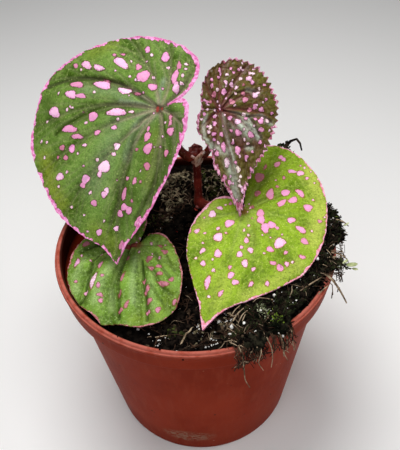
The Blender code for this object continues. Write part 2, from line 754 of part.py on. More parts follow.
def build_leaf(name, shape):
    blade = Blade(shape)
    shares = [0.0]
    for low, high in zip(blade.stops(), blade.stops()[1:]):
        columns = max(1, round((high - low) * blade.round_length / shape["spacing"] / 2)) * 2
        shares += [mix(low, high, (i + 1) / columns) for i in range(columns)]
    columns, rings = len(shares) - 1, shape["rings"]

    def place(column, row):
        out = 1 - row / rings
        out = 0.65 * out + 0.35 * out * (2 - out)
        tooth = shape["teeth"] * (0.5 if column % 2 else -0.5)
        return blade.point(shares[column], out, 1 + (tooth if row == 0 else 0))

    mesh = mapped_grid(columns, rings, place)
    bmesh.ops.triangulate(mesh, faces=mesh.faces, quad_method="SHORT_EDGE")
    roughness = 0.25 if shape["teeth"] else 0.4
    leaf = finish(name, mesh, LEAF_COLOURS[name], roughness)
    wall = leaf.modifiers.new("thickness", "SOLIDIFY")
    wall.thickness = BLADE * MM
    wall.offset = -1.0
    return blade


# Petioles

# Each petiole leaves the stem at a height and a bearing, and ends just under its blade.
PETIOLES = {
    "petiole_a": {"leaf": "leaf_a", "height": 121.0, "radii": (2.1, 1.35), "rise": 0.9, "bow": 0.35},
    "petiole_b": {"leaf": "leaf_b", "height": 121.0, "radii": (1.6, 1.1), "rise": 1.2, "bow": 0.35},
    "petiole_c": {"leaf": "leaf_c", "height": 94.5, "radii": (2.0, 1.5), "rise": 0.7, "bow": 0.4},
    "petiole_d": {"leaf": "leaf_d", "height": 90.7, "radii": (1.9, 1.7), "rise": 0.0, "bow": 0.35},
}


def build_petiole(name, shape, blade):
    axis = stem_axis(shape["height"])
    away = blade.root - axis
    bearing = Vector((away.x, away.y, 0)).normalized()
    thick, thin = shape["radii"]
    leaving = (bearing + Vector((0, 0, shape["rise"]))).normalized()
    start = axis + bearing * (STEM_RADIUS + NODE_SWELL + GAP + thick * leaving.z)
    end = blade.root - blade.normal * (BLADE + GAP + PETIOLE_PLAY)
    route = arc_route(start, leaving, end, blade.normal, shape["bow"], PETIOLE_STATIONS)
    radii = [mix(thick, thin, i / (PETIOLE_STATIONS - 1)) for i in range(PETIOLE_STATIONS)]
    return finish(name, mesh_of_curve(route, radii, sides=2), STEM_COLOUR, 0.3)


build_pot()
build_soil()
build_stem()
blades = {name: build_leaf(name, shape) for name, shape in LEAVES.items()}
build_moss(blades["leaf_c"])
for petiole_name, petiole_shape in PETIOLES.items():
    build_petiole(petiole_name, petiole_shape, blades[petiole_shape["leaf"]])
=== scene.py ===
# A potted begonia: pink-spotted leaves on red stalks in a nursery pot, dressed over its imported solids.
# Lengths are in millimetres unless a line says otherwise, +Z is up, and the pot stands on the origin.

import json
import math
import random

import bmesh
import bpy
import numpy as np
from mathutils import Matrix, Vector, noise

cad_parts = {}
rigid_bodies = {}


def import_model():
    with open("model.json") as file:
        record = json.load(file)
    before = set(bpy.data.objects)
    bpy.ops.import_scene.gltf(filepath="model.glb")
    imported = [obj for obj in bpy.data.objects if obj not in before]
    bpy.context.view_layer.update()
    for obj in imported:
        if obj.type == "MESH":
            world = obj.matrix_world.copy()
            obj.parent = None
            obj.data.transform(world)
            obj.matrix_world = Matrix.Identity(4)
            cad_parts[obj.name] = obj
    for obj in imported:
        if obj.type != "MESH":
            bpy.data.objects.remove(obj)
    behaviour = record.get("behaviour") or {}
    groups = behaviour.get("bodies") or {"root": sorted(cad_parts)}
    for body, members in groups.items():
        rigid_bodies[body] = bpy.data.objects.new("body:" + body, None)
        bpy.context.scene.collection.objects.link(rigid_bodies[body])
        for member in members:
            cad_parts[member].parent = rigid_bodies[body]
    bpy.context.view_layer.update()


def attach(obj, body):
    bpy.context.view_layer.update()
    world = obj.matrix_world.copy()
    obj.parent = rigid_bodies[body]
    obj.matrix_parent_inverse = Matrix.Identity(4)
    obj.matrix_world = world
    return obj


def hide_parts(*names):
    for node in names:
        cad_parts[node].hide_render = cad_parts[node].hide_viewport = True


for old in list(bpy.data.objects):
    bpy.data.objects.remove(old, do_unlink=True)

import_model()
scene = bpy.context.scene
mm = 0.001  # metres in a millimetre


def addObject(name, data):
    item = bpy.data.objects.new(name, data)
    scene.collection.objects.link(item)
    return item


def asData(name, mesh):
    data = bpy.data.meshes.new(name)
    mesh.to_mesh(data)
    mesh.free()
    return data


def applied(item):
    # mesh data of an object with its modifiers or its bevel applied
    bpy.context.view_layer.update()
    graph = bpy.context.evaluated_depsgraph_get()
    return bpy.data.meshes.new_from_object(item.evaluated_get(graph))


# Camera, lights and floor

view = {
    "place": (2.6, -204.6, 302.8),
    "lookDown": 43.5,  # degrees below the horizon
    "roll": -2.94,
    "focal": 53.7,
    "sensor": 36.0,
}

lights = {
    "sky": 0.12,
    "overhead": {"place": (-60, 90, 560), "size": 320, "power": 2.1, "tint": (1.0, 0.99, 0.97)},
    "window": {"place": (400, -60, 420), "size": 260, "power": 0.4, "tint": (1.0, 0.98, 0.95)},
    "front": {"place": (-40, -280, 480), "size": 380, "power": 0.85, "tint": (0.98, 0.99, 1.0)},
    "aim": (0, 0, 90),
}

floorLook = {"size": 1.5, "tone": 0.97, "roughness": 0.9}  # size in metres


def buildCamera():
    down = math.radians(view["lookDown"])
    roll = math.radians(view["roll"])
    back = Vector((0, -math.cos(down), math.sin(down)))
    right = Vector((1, 0, 0))
    up = right.cross(-back)
    rolledRight = math.cos(roll) * right + math.sin(roll) * up
    rolledUp = -math.sin(roll) * right + math.cos(roll) * up
    data = bpy.data.cameras.new("photo_camera")
    data.sensor_width = view["sensor"]
    data.lens = view["focal"]
    data.clip_start = 0.01
    data.clip_end = 20.0
    camera = addObject("photo_camera", data)
    turn = Matrix((rolledRight, rolledUp, back)).transposed().to_4x4()
    camera.matrix_world = Matrix.Translation(Vector(view["place"]) * mm) @ turn
    scene.camera = camera


def buildLight(name, light):
    data = bpy.data.lights.new(name, "AREA")
    data.shape = "DISK"
    data.size = light["size"] * mm
    data.energy = light["power"]
    data.color = light["tint"]
    lamp = addObject(name, data)
    place = Vector(light["place"])
    aim = Vector(lights["aim"]) - place
    turn = aim.to_track_quat("-Z", "Y").to_matrix().to_4x4()
    lamp.matrix_world = Matrix.Translation(place * mm) @ turn


def buildStudio():
    for name in ("overhead", "window", "front"):
        buildLight(name, lights[name])
    world = bpy.data.worlds.new("studio")
    world.use_nodes = True
    sky = world.node_tree.nodes["Background"]
    sky.inputs["Color"].default_value = (1.0, 1.0, 1.0, 1.0)
    sky.inputs["Strength"].default_value = lights["sky"]
    scene.world = world
    scene.view_settings.view_transform = "Standard"
    mesh = bmesh.new()
    bmesh.ops.create_grid(mesh, x_segments=8, y_segments=8, size=floorLook["size"])
    floor = addObject("floor", asData("floor", mesh))
    paint = bpy.data.materials.new("pale_floor")
    paint.use_nodes = True
    shader = paint.node_tree.nodes["Principled BSDF"]
    shader.inputs["Base Color"].default_value = (*[floorLook["tone"]] * 3, 1.0)
    shader.inputs["Roughness"].default_value = floorLook["roughness"]
    floor.data.materials.append(paint)


buildCamera()
buildStudio()
print("camera, lights and floor are set")


# Small helpers


def ease(low, high, value):
    share = np.clip((value - low) / (high - low), 0.0, 1.0)
    return share * share * (3 - 2 * share)


def mix(low, high, share):
    return low + (high - low) * share


def around(radius, angle, height):
    # a place at a radius and an angle about the pot's axis
    return Vector((radius * math.cos(angle), radius * math.sin(angle), height))


def srgb(red, green, blue):
    linear = []
    for part in (red, green, blue):
        part /= 255
        linear.append(part / 12.92 if part <= 0.04045 else ((part + 0.055) / 1.055) ** 2.4)
    return (*linear, 1.0)


def makePiece(name, mesh, materials, nodes, sharpest=60):
    bmesh.ops.scale(mesh, vec=(mm, mm, mm), verts=mesh.verts)
    data = asData(name, mesh)
    for material in materials:
        data.materials.append(material)
    data.shade_smooth()
    data.set_sharp_from_angle(angle=math.radians(sharpest))
    piece = addObject(name, data)
    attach(piece, "root")
    if nodes:
        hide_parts(*nodes)
    return piece


def bakeModifiers(piece, sharpest=60):
    data = applied(piece)
    piece.modifiers.clear()
    old = piece.data
    piece.data = data
    bpy.data.meshes.remove(old)
    data.name = piece.name
    data.set_sharp_from_angle(angle=math.radians(sharpest))


def strands(routes, sides=2):
    # round threads along routes of (point, radius), as one bmesh with welded caps
    curve = bpy.data.curves.new("strands", "CURVE")
    curve.dimensions = "3D"
    curve.bevel_depth = 1.0
    curve.bevel_resolution = sides
    curve.use_fill_caps = True
    for route in routes:
        spline = curve.splines.new("POLY")
        spline.points.add(len(route) - 1)
        for point, (place, radius) in zip(spline.points, route):
            point.co = (*place, 1.0)
            point.radius = radius
    guide = addObject("strands", curve)
    data = applied(guide)
    mesh = bmesh.new()
    mesh.from_mesh(data)
    bmesh.ops.remove_doubles(mesh, verts=mesh.verts, dist=0.002)
    bmesh.ops.recalc_face_normals(mesh, faces=mesh.faces)
    bpy.data.objects.remove(guide)
    bpy.data.curves.remove(curve)
    bpy.data.meshes.remove(data)
    return mesh


def layBits(name, paint, shapes, bits):
    # one piece made of copies of small shapes; a bit is a shape, its place, its turn and its size
    mesh = bmesh.new()
    for data, place, turn, size in bits:
        copy = data.copy()
        copy.transform(Matrix.Translation(place) @ turn.to_4x4() @ Matrix.Diagonal((*size, 1.0)))
        mesh.from_mesh(copy)
        bpy.data.meshes.remove(copy)
    makePiece(name, mesh, [paint], [], 180)
    for data in shapes:
        bpy.data.meshes.remove(data)


def randomTurn(dice, lean=math.pi):
    axis = Vector((dice.uniform(-1, 1), dice.uniform(-1, 1), 0.01)).normalized()
    spin = Matrix.Rotation(dice.uniform(0, 2 * math.pi), 3, "Z")
    return Matrix.Rotation(dice.uniform(0, lean), 3, axis) @ spin


# Material helpers


def newMaterial(name):
    material = bpy.data.materials.new(name)
    material.use_nodes = True
    tree = material.node_tree
    return material, tree, tree.nodes["Principled BSDF"]


def feed(tree, value, socket):
    if isinstance(value, bpy.types.NodeSocket):
        tree.links.new(value, socket)
    else:
        socket.default_value = value


def places(tree, stretch=(1, 1, 1), shift=(0, 0, 0)):
    coordinates = tree.nodes.new("ShaderNodeTexCoord")
    mapping = tree.nodes.new("ShaderNodeMapping")
    mapping.inputs["Scale"].default_value = [part / mm for part in stretch]
    mapping.inputs["Location"].default_value = shift
    tree.links.new(coordinates.outputs["Object"], mapping.inputs["Vector"])
    return mapping.outputs["Vector"]


def cloud(tree, where, size, detail=3.0, rough=0.55, warp=0.0):
    node = tree.nodes.new("ShaderNodeTexNoise")
    node.inputs["Scale"].default_value = 1 / size
    node.inputs["Detail"].default_value = detail
    node.inputs["Roughness"].default_value = rough
    node.inputs["Distortion"].default_value = warp
    tree.links.new(where, node.inputs["Vector"])
    return node.outputs["Fac"]


def cells(tree, where, size, feature="F1", output="Distance"):
    node = tree.nodes.new("ShaderNodeTexVoronoi")
    node.feature = feature
    node.inputs["Scale"].default_value = 1 / size
    tree.links.new(where, node.inputs["Vector"])
    return node.outputs[output]


def maths(tree, operation, first, second=0.0, clamp=False):
    node = tree.nodes.new("ShaderNodeMath")
    node.operation = operation
    node.use_clamp = clamp
    feed(tree, first, node.inputs[0])
    feed(tree, second, node.inputs[1])
    return node.outputs[0]


def times(tree, first, second):
    return maths(tree, "MULTIPLY", first, second)


def between(tree, value, low, high, start=0.0, end=1.0):
    node = tree.nodes.new("ShaderNodeMapRange")
    node.interpolation_type = "SMOOTHSTEP"
    feed(tree, value, node.inputs["Value"])
    node.inputs["From Min"].default_value = low
    node.inputs["From Max"].default_value = high
    node.inputs["To Min"].default_value = start
    node.inputs["To Max"].default_value = end
    return node.outputs["Result"]


def blend(tree, factor, first, second, mode="MIX"):
    node = tree.nodes.new("ShaderNodeMix")
    node.data_type = "RGBA"
    node.blend_type = mode
    feed(tree, factor, node.inputs[0])
    feed(tree, first, node.inputs[6])
    feed(tree, second, node.inputs[7])
    return node.outputs[2]


def ramp(tree, value, stops):
    node = tree.nodes.new("ShaderNodeValToRGB")
    feed(tree, value, node.inputs["Fac"])
    points = node.color_ramp.elements
    while len(points) < len(stops):
        points.new(0.5)
    for point, (place, colour) in zip(points, stops):
        point.position = place
        point.color = colour
    return node.outputs["Color"]


def reading(tree, name):
    node = tree.nodes.new("ShaderNodeAttribute")
    node.attribute_name = name
    return node.outputs["Fac"]


def setSockets(shader, values):
    for name, value in values.items():
        shader.inputs[name].default_value = value


def bump(tree, shader, height, strength, depth):
    node = tree.nodes.new("ShaderNodeBump")
    node.inputs["Strength"].default_value = strength
    node.inputs["Distance"].default_value = depth * mm
    feed(tree, height, node.inputs["Height"])
    tree.links.new(node.outputs["Normal"], shader.inputs["Normal"])


# Leaves

bladeWall = 0.9  # thickness of a leaf

# A leaf is given in its own plane: u runs from the petiole to the tip and v to the right of it.
# Veins are (a point passed, the end at the margin).
# The curl is how fast it falls off to the tip, the foot, the left and the right.
# Spots are (u, v, size across, size along, tone, tilt): a tone of 0 is dull, 1 pale pink and 1.5 cream.
# Creases are (points, width, depth) and domes (u, v, radius, rise). The rim is (width, wander, beads).
# Silver, dark and gold strokes tint the blade softly and paint light and shade on it: (points, width,
# strength).
# Gold strokes are a yellower tint and painted light on the lit sides of folds.
# Silver strokes are silvery markings and painted highlights; dark ones a darker tint and painted shade in
# hollows, folds and under other leaves.

leafA = {
    "node": "leaf_a",
    "petiole": (-11.6, 26, 150),
    "tip": (-31.5, -18.2, 107),
    "facing": (-0.30, -0.55, 0.80),
    "curl": (0.0012, 0.0008, 0.0015, 0.020),
    "puff": 0.085,
    "left": [
        (-6.6, 8.1), (-10.4, 10.3), (-14.6, 11.6), (-19.2, 11.8), (-23.2, 10.2), (-26, 6.4), (-27.9, 0.2),
        (-29, -7), (-28.8, -15), (-27, -25.2), (-22.8, -35.4), (-17.7, -45), (-11, -53.2), (-4, -58.3),
        (3, -60.1), (12, -59.8), (22.2, -59.5), (30.5, -55.4), (37.4, -50.3), (44.6, -43), (50.9, -36.4),
        (55, -28.8), (58, -20.7), (59.6, -12.6), (62.4, -7.2), (65.4, -2.5),
    ],
    "right": [
        (65.4, -2.5), (61, -1), (56, 0.6), (50, 3.5), (42, 6.5), (33.7, 8.8), (25, 10.8), (15, 12.3),
        (6, 12.7), (0, 12.4), (-3.6, 11.6), (-5.8, 10), (-6.4, 7.9),
    ],
    "veins": [
        ((-12, 8), (-22.8, 10.4)), ((-14, 1), (-28.6, -4.5)), ((-12, -6.2), (-27.4, -23.5)),
        ((-7.6, -24), (-4, -58.3)), ((2.2, -24), (18, -59.7)), ((16, -28), (37.4, -50.3)),
        ((22, -17), (53, -32.8)), ((24, -8), (65.4, -2.5)), ((14, 4.6), (46, 5.1)), ((2, 7), (6, 12.7)),
    ],
    "grain": 0.72,
    "rings": 84,
    "teeth": (0, 9),
    "ragged": 0.5,
    "quilt": (0.16, 3.4),
    "groove": 0.3,
    "creases": [
        ([(0.2, -1), (0.8, -10), (1.8, -20), (4.5, -28), (8.5, -35), (14, -42), (19, -46)], 0.8, 0.9),
        ([(-0.5, -1), (-3.2, -10), (-7.2, -20), (-8.2, -30), (-7, -40), (-4.5, -50), (-1, -57)], 0.8, 0.9),
        ([(-0.5, 1), (-3, 3.5), (-9, 7), (-16, 8.5)], 0.8, 0.5),
        ([(1, -1), (6, -6.5), (14, -8), (26, -7), (40, -7.5), (50, -9)], 0.9, 0.7),
        ([(2, 2), (10, 5.5), (22, 6.5), (34, 5.5), (46, 2)], 0.9, 0.7),
    ],
    "domes": [
        (6, -24, 7, 0.9), (-2.5, -24, 5, 0.8), (-13, -12, 6, 0.8), (16, 0, 5, 0.8), (34, -2, 5, 0.7),
        (24, -24, 9, 0.8), (10, -48, 5, 0.6), (-14, -34, 6, 0.6), (36, -34, 7, 0.5),
    ],
    "sprinkle": 26,
    "rim": (0.45, 0.8, 0.9),
    "notch": 0.4,
    "rimPatches": [
        (-5, 9.5, 3, 1.3), (1, 12.3, 4, 1.4), (8, 12.6, 4, 1.2), (15, 12.3, 4, 0.9), (22, 11.2, 1.6, 1.2),
        (26.5, 10.4, 1.4, 1), (31, 9.5, 1.5, 1.3), (35.5, 8.4, 2.2, 1.6), (41.5, 6.6, 1.8, 1.3),
        (46.3, 4.8, 2.4, 2.2), (52, 2.4, 1.2, 1.1), (57.5, 0.3, 2.2, 2), (-8, 9.3, 2.5, 1),
        (-14, 11.2, 3.5, 1.4), (-19.5, 11.6, 3, 1.8), (-24, 9.2, 2.5, 1.3), (-26.5, 5, 2.5, 1.6),
        (-28, 0, 2, 0.7), (-28.8, -6, 3, 0.6), (-28.8, -12, 3, 1.1), (-28, -20, 3, 0.9),
        (-22.8, -35.4, 3, 0.5), (-17, -46, 3, 0.7), (-10, -54, 3, 0.7), (-2, -59, 2.5, 0.9),
        (6, -60.2, 2.5, 0.4), (16, -59.8, 2.5, 0.7), (22, -59.4, 2, 1), (26.5, -57.4, 2.5, 1.4),
        (30, -55.6, 2, 1.2), (38.5, -49.4, 2.2, 1.3), (44, -43.7, 2, 0.8), (48, -39.5, 2.2, 1.3),
        (51.5, -35.4, 2.2, 1.5), (54, -31, 2.4, 1.3), (56.4, -25, 1.6, 0.8),
    ],
    "spots": [
        (-23.5, -12.1, 2.5, 2.5), (-21.5, -3.3, 3, 4.4), (-19, 3.6, 1.8, 3.2, 0.4), (-14, 3.1, 3, 5.5),
        (-9.9, 4.8, 2.4, 5, 0.9), (-16, -22.4, 7.5, 3.6, 0.9, 22), (-15.4, -13.6, 2.6, 2.6, 0.5),
        (-11.8, -10.2, 5, 5), (-8.3, -5.1, 3.2, 3.2), (-13.1, -39.3, 6, 3, 0.95, 10),
        (-12.6, -32.6, 5.5, 2.2, 0.9, 14), (-12.3, -45.2, 2.4, 2, 0.5), (-19.1, -26.8, 2, 1.2, 0.5),
        (-19.9, -22.9, 2.4, 1, 0.5), (-5.6, -28.5, 9, 3.4, 0.85), (-7.9, -27.6, 3, 1, 0.4),
        (-4.8, -17.4, 5.2, 3, 0.95), (-4.6, -11.3, 3.5, 1.2, 0.25), (-4.1, -41.6, 6.5, 2.8, 0.5),
        (0.6, -43.2, 6.5, 3.2, 0.9), (0.5, -37.8, 4.6, 2.2, 0.6), (9.4, -49.6, 6, 4.2, 0.9),
        (4.8, -18.2, 9, 3, 0.95, -8), (8.3, -28.8, 5, 3.8, 0.65), (15.4, -39.4, 8, 3.2, 0.55, -10),
        (17.9, -34.6, 6, 1.9, 0.55, -10), (14.6, -25.1, 3, 2.4, 0.6), (11.1, -17.6, 2.8, 1.8, 0.7),
        (18.5, -14.1, 3.6, 2.8, 1.1), (22, -14.6, 2.6, 1.6, 1.1), (20.9, -29.3, 2.4, 1.6, 0.9),
        (23.4, -35.8, 3.6, 3.4, 0.7), (23.8, -40.9, 2.4, 2.4, 0.4), (27.7, -37.7, 2.8, 2.2, 0.4),
        (28.2, -42, 1.2, 2, 0.3), (27.9, -17.4, 5.5, 5.5, 1), (31.3, -18.8, 2.4, 2.6, 0.9),
        (34.6, -25.2, 3.6, 3.6, 0.75), (37.4, -26, 2.4, 2.4, 0.6), (36.2, -38, 4.2, 3.2, 0.95),
        (37.1, -13.8, 2.2, 2.2, 1), (39.2, -14.6, 3, 2.4, 0.8), (43.5, -18.4, 3.2, 2.4, 0.6),
        (54.6, -13.2, 2.6, 2.6, 0.8), (51.3, -6, 2.4, 2, 0.9), (8.8, -2.2, 1.4, 2.4, 0.5),
        (12.1, -1.6, 2.6, 4.5, 0.45), (16.9, 0.2, 3.6, 4.6, 0.55), (18.1, -4.9, 1.5, 1.5, 0.3),
        (23.8, 1.5, 2.8, 3, 0.4), (2.4, 5.7, 1.2, 2.4, 0.4), (4.7, 6.4, 1.2, 2.4, 0.45),
        (8, 7.4, 2.2, 3.6, 0.5), (16.9, 7.9, 1.6, 3, 0.45), (30.4, -6, 1.6, 2, 0.5),
        (30.8, -2.2, 2, 2.6, 0.5), (30.5, 0.6, 1.4, 1.4, 0.4), (36.9, -5.8, 2.6, 5, 0.55),
        (38.9, -1.4, 1.5, 1.5, 0.4), (42.1, -4.4, 2.8, 3.2, 0.6), (43, -1.8, 2.6, 3.4, 0.6),
        (45.1, -5.7, 2.8, 3, 0.6), (46.4, 3.2, 3, 4.2, 0.5), (57.3, -1.9, 2.4, 3.4, 0.5),
    ],
    "specks": [
        (-17.4, -17.9), (-10.8, -16.1), (-21.3, -9.4), (-20.1, 6.3), (-15.3, 6.1), (-12.1, 6.4),
        (-17.4, -0.8), (-12.3, -6), (7.4, -16.9), (11.5, -31.5), (24.8, -31.7), (25.7, -21.5), (47.4, -29.4),
        (49.6, -11.9), (-11, -41.7), (0.9, -50), (6.1, -41), (7.3, -43.4), (14, -52.7), (23, -52.5),
        (23, -49.6), (29.6, -49.1), (33.5, -34.7), (40.4, -37.6), (39.7, -21.3), (-1.9, -31.5), (3.5, -12.2),
        (3.3, -11),
    ],
    "silverAndHighlight": [
        ([(0, 0), (5, -5), (9, -8)], 2.4, 0.9), ([(9, -8), (22, -8.6)], 2.2, 0.5),
        ([(0, 0), (-6, -1.5), (-12, -1)], 1.2, 0.8), ([(0, 0), (-3.2, -7.5), (-5, -14)], 1, 0.8),
        ([(0, 0), (-0.6, -9), (-0.4, -18)], 1.3, 0.8), ([(2.5, -4), (5, -9.5)], 2.2, 0.5),
        ([(-2, -14), (-3.5, -26), (-2, -38)], 2.6, 0.35), ([(10, -16), (22, -18), (36, -20)], 6, 0.3),
    ],
    "darkAndShade": [
        ([(-1, 4), (3, 9)], 2.8, 0.9), ([(2.5, -14), (5.5, -26), (11, -36), (17, -43)], 1.6, 0.7),
        ([(-5.5, -20), (-6.2, -32), (-4.5, -46)], 1.4, 0.6), ([(6, -55), (12, -49), (14, -46)], 4, 0.55),
        ([(6, 1.5), (20, 1), (35, -1), (47, -3)], 5, 0.4), ([(2, 7.5), (16, 9), (30, 8)], 2.4, 0.75),
        ([(-14, -4), (-22, -16)], 4.5, 0.3), ([(14, -10), (30, -9), (44, -10)], 1.6, 0.35),
    ],
    "goldAndLight": [
        ([(30, -49), (40, -42), (47, -35)], 4, 0.75), ([(-24, -30), (-19, -38)], 3.6, 0.5),
        ([(54, -16), (58, -6)], 4, 0.4), ([(10, 2), (30, 3)], 2.4, 0.35),
    ],
}

leafB = {
    "node": "leaf_b",
    "petiole": (13.4, 31.3, 145),
    "tip": (19.5, 0.9, 113.5),
    "facing": (0.10, -0.60, 0.75),
    "curl": (0.001, 0.002, 0.002, 0.003),
    "puff": 0.115,
    "left": [
        (-0.9, -7.9), (2.4, -10.4), (8, -10.7), (13, -9.2), (17.6, -6.6), (23.6, -6.9), (31, -4.2),
        (37.5, -2), (44.7, 0.3),
    ],
    "right": [
        (44.7, 0.3), (38, 3.2), (31.5, 6.2), (26, 10.6), (22.2, 14.8), (17.2, 18.4), (10, 22.6), (2, 24.6),
        (-6, 23.8), (-13, 20.6), (-17.6, 16.4), (-19.8, 10), (-18.8, 2.5), (-15, -3), (-8.5, -6.4),
        (-0.98, -7.88),
    ],
    "veins": [
        ((3.6, -5.6), (8, -10.7)), ((11, -4.6), (21, -6.6)), ((20, 0.6), (44.7, 0.3)),
        ((18, 6.6), (31.5, 6.2)), ((8.5, 9), (22.2, 14.8)), ((2.6, 12), (8, 23.3)), ((-4, 12), (-6, 23.8)),
        ((-9, 7.5), (-17.6, 16.4)), ((-9.5, 1.5), (-19.4, 5.5)), ((-6, -2.8), (-13.4, -4.2)),
    ],
    "grain": 0.42,
    "rings": 64,
    "teeth": (0.055, 2.7),
    "ragged": 0.6,
    "quilt": (0.4, 2.7),
    "groove": 0.35,
    "creases": [
        ([(0.8, 1), (3, 6.5), (5.2, 10.5), (5.6, 17), (9, 21)], 0.5, 0.9),
        ([(5.4, 11.5), (9, 13), (15, 15)], 0.5, 0.8),
        ([(-0.5, 1.5), (-5, 7), (-6, 13), (-4.5, 17)], 0.5, 0.7),
        ([(0.5, -1), (4.5, -5.8), (11, -7.6)], 0.5, 0.6), ([(15.5, 1.5), (17.5, 6), (17.5, 11)], 0.5, 0.7),
        ([(-1, -0.5), (-9, -2.5), (-15, -1.5)], 0.5, 0.5),
    ],
    "domes": [
        (9.5, 8.8, 4.2, 1.5), (9, 17, 3.2, 0.9), (10, -4.6, 3.4, 0.9), (20, -2.6, 3, 0.7),
        (20.5, 6, 3.4, 0.8), (-3, 9.5, 3.6, 0.8), (-11, 7.5, 3.6, 0.7), (-3.5, 19, 3.4, 0.6),
        (-8.5, 0.5, 3, 0.6),
    ],
    "sprinkle": 36,
    "rim": (0.3, 0.6, 0.7),
    "notch": 0.95,
    "rimPatches": [
        (42, 0.3, 3.5, 1.8), (35, -2.6, 2.6, 1.2), (24, -6.6, 3, 1.2), (34, 4.6, 3, 1.1), (23, 13, 2.4, 1.2),
        (12, 21, 2.4, 1), (-2, 24, 3, 0.8), (-14, 19.6, 3, 0.6), (4, -10.4, 3, 0.7),
    ],
    "spots": [
        (-15.5, 3, 1.2, 3), (-13.1, 1.9, 1.2, 1.4), (-15, 11.1, 1.3, 1.3), (-14, 8.6, 1.2, 1.2),
        (-15.9, 7.8, 1.2, 1.4), (-12.5, -1.2, 1.3, 1.5), (-10, -1.6, 1, 2), (-10.3, 4.4, 1.4, 2, 1),
        (-9.2, 6.7, 1.6, 2.4, 0.9), (-6.7, 2.8, 2.3, 2.3), (-6.3, -1.4, 1.6, 2.6, 0.4),
        (-10.5, 14.6, 2.4, 2.4, 0.9), (-8.8, 15.7, 1.6, 2), (-12.8, 15.5, 1.4, 1.4, 1.2),
        (-12.3, 16.8, 1.3, 1.3, 1.2), (-8.2, 11.7, 1.2, 1.2, 0.1), (-3.6, -5, 1.4, 1.6),
        (-4.6, -5.8, 1.2, 1.3), (-3.4, -3.5, 1.2, 1.2, 0.4), (-2.1, 5.5, 2.4, 2.4, 0.3),
        (-4.6, 10.9, 2, 2, 0.4), (-1.9, 11.1, 2.4, 2.4, 0.5), (-3.2, 15.7, 2.4, 2.4, 0.9),
        (2.5, 12.3, 2, 2, 0.4), (1.6, 14.8, 2, 2), (3.1, 17.3, 2.4, 1.8), (-0.7, 20, 1.3, 1.3),
        (-7.1, 20.7, 1.2, 1.2), (5.4, 21.5, 1.3, 1.5), (1.2, -7, 1.3, 1.5), (2.9, -2.9, 1.3, 1.4),
        (5.6, -3.5, 2, 2, 0.8), (7, -5.6, 1.6, 2, 1.4), (8.9, -6.6, 1.4, 1.6, 1.2), (10, -4.8, 1.8, 1.8),
        (12.3, -5, 1.3, 1.5), (10.8, -1.6, 1.6, 2), (16, -1.8, 2, 4), (18.1, -5, 1.6, 2.4),
        (22.7, -1.6, 2.4, 4, 1.2), (4.5, 3.4, 2, 2), (6.6, 6.3, 2.6, 2.6, 1), (6, 9.8, 1.4, 1.4),
        (10, 2.8, 1.4, 1.4), (11.2, 5.5, 2.6, 2.6), (12.9, 10.7, 2.8, 2.8), (6.8, 13.8, 1.4, 1.4),
        (8.1, 15.9, 2.4, 2.4), (8.3, 18.8, 2, 2, 1.3), (11.6, 15.5, 2.2, 2.2), (16.6, 14.2, 1.6, 1.6),
        (15, 2.5, 1.4, 1.4), (18.3, 4, 2.6, 3.4), (23.1, 2.1, 1.4, 1.4), (21.8, 7.1, 1.8, 1.8),
        (20, 10, 1.2, 1.2), (26.2, 2.8, 1.8, 3, 1.4), (29.3, 3.2, 1.4, 1.4, 1.4), (31.2, 2.3, 1.4, 1.4, 1.4),
        (33, 2, 1.4, 1.4, 1.4), (31, -2, 1.6, 2), (35.2, 3, 1.6, 4, 0.9), (42.3, 0, 3, 4, 0.9),
        (28.6, -3.6, 1.6, 2.6), (27.2, 8.2, 1.3, 1.8),
    ],
    "specks": [
        (-4, 17.3), (-5.8, 18.2), (-11, 11), (4, 9.4), (10.4, 8), (14, -3.6), (-8, 0.4), (-7.6, 8.6),
        (9.6, 12.6), (14.6, 7.6), (-13.6, 5.6), (16.4, 8.8), (21, 4.4), (-5.2, 7.6),
    ],
    "silverAndHighlight": [
        ([(1.5, 0.8), (8, 0.2), (14, 0.7), (20, 1.5), (27, 2)], 0.65, 0.9), ([(8, 7.5), (11, 10)], 3.1, 1),
        ([(5, 10.4), (9, 11.6), (14.4, 13.8)], 1.2, 1), ([(11, 9.5), (13, 11.5)], 1.5, 0.75),
        ([(5.4, 12.5), (5.4, 17), (9, 20.4)], 0.6, 0.75), ([(-6, 13), (-4, 17.2)], 0.9, 0.7),
        ([(2, -6.5), (6, -8.3), (11, -8.7), (15, -6.2)], 0.8, 0.85),
        ([(15, -6), (17, -3.5), (18, 0)], 2, 0.8), ([(22, -1), (30, 0.2), (38, -0.5)], 1.7, 0.75),
        ([(18, 8), (18.6, 10)], 1, 0.7), ([(8.4, 18), (9.5, 20.4)], 1.1, 0.6),
        ([(1.6, 3), (3.4, 8.2)], 0.4, 0.6),
    ],
    "darkAndShade": [
        ([(4, 2), (9, 2.5), (14, 3.5)], 2.5, 0.9), ([(3, 5), (8, 4.5)], 1.6, 0.85),
        ([(-2, 3), (-6, 5), (-9, 6)], 2.5, 0.6), ([(0, 12), (-2, 20)], 3, 0.4), ([(15, 7), (18, 12)], 2, 0.5),
        ([(-14, 10), (-4, 4), (0, 0)], 4, 0.35), ([(2, -1.5), (9, -1.8), (14, -1)], 0.9, 0.6),
    ],
    "goldAndLight": [
        ([(-8, 22), (2, 23), (12, 19)], 3.4, 0.4), ([(24, 7), (32, 4)], 3, 0.4),
        ([(-8, 10), (-12, 4)], 3, 0.4), ([(11, 17), (14, 15)], 2, 0.4),
    ],
}

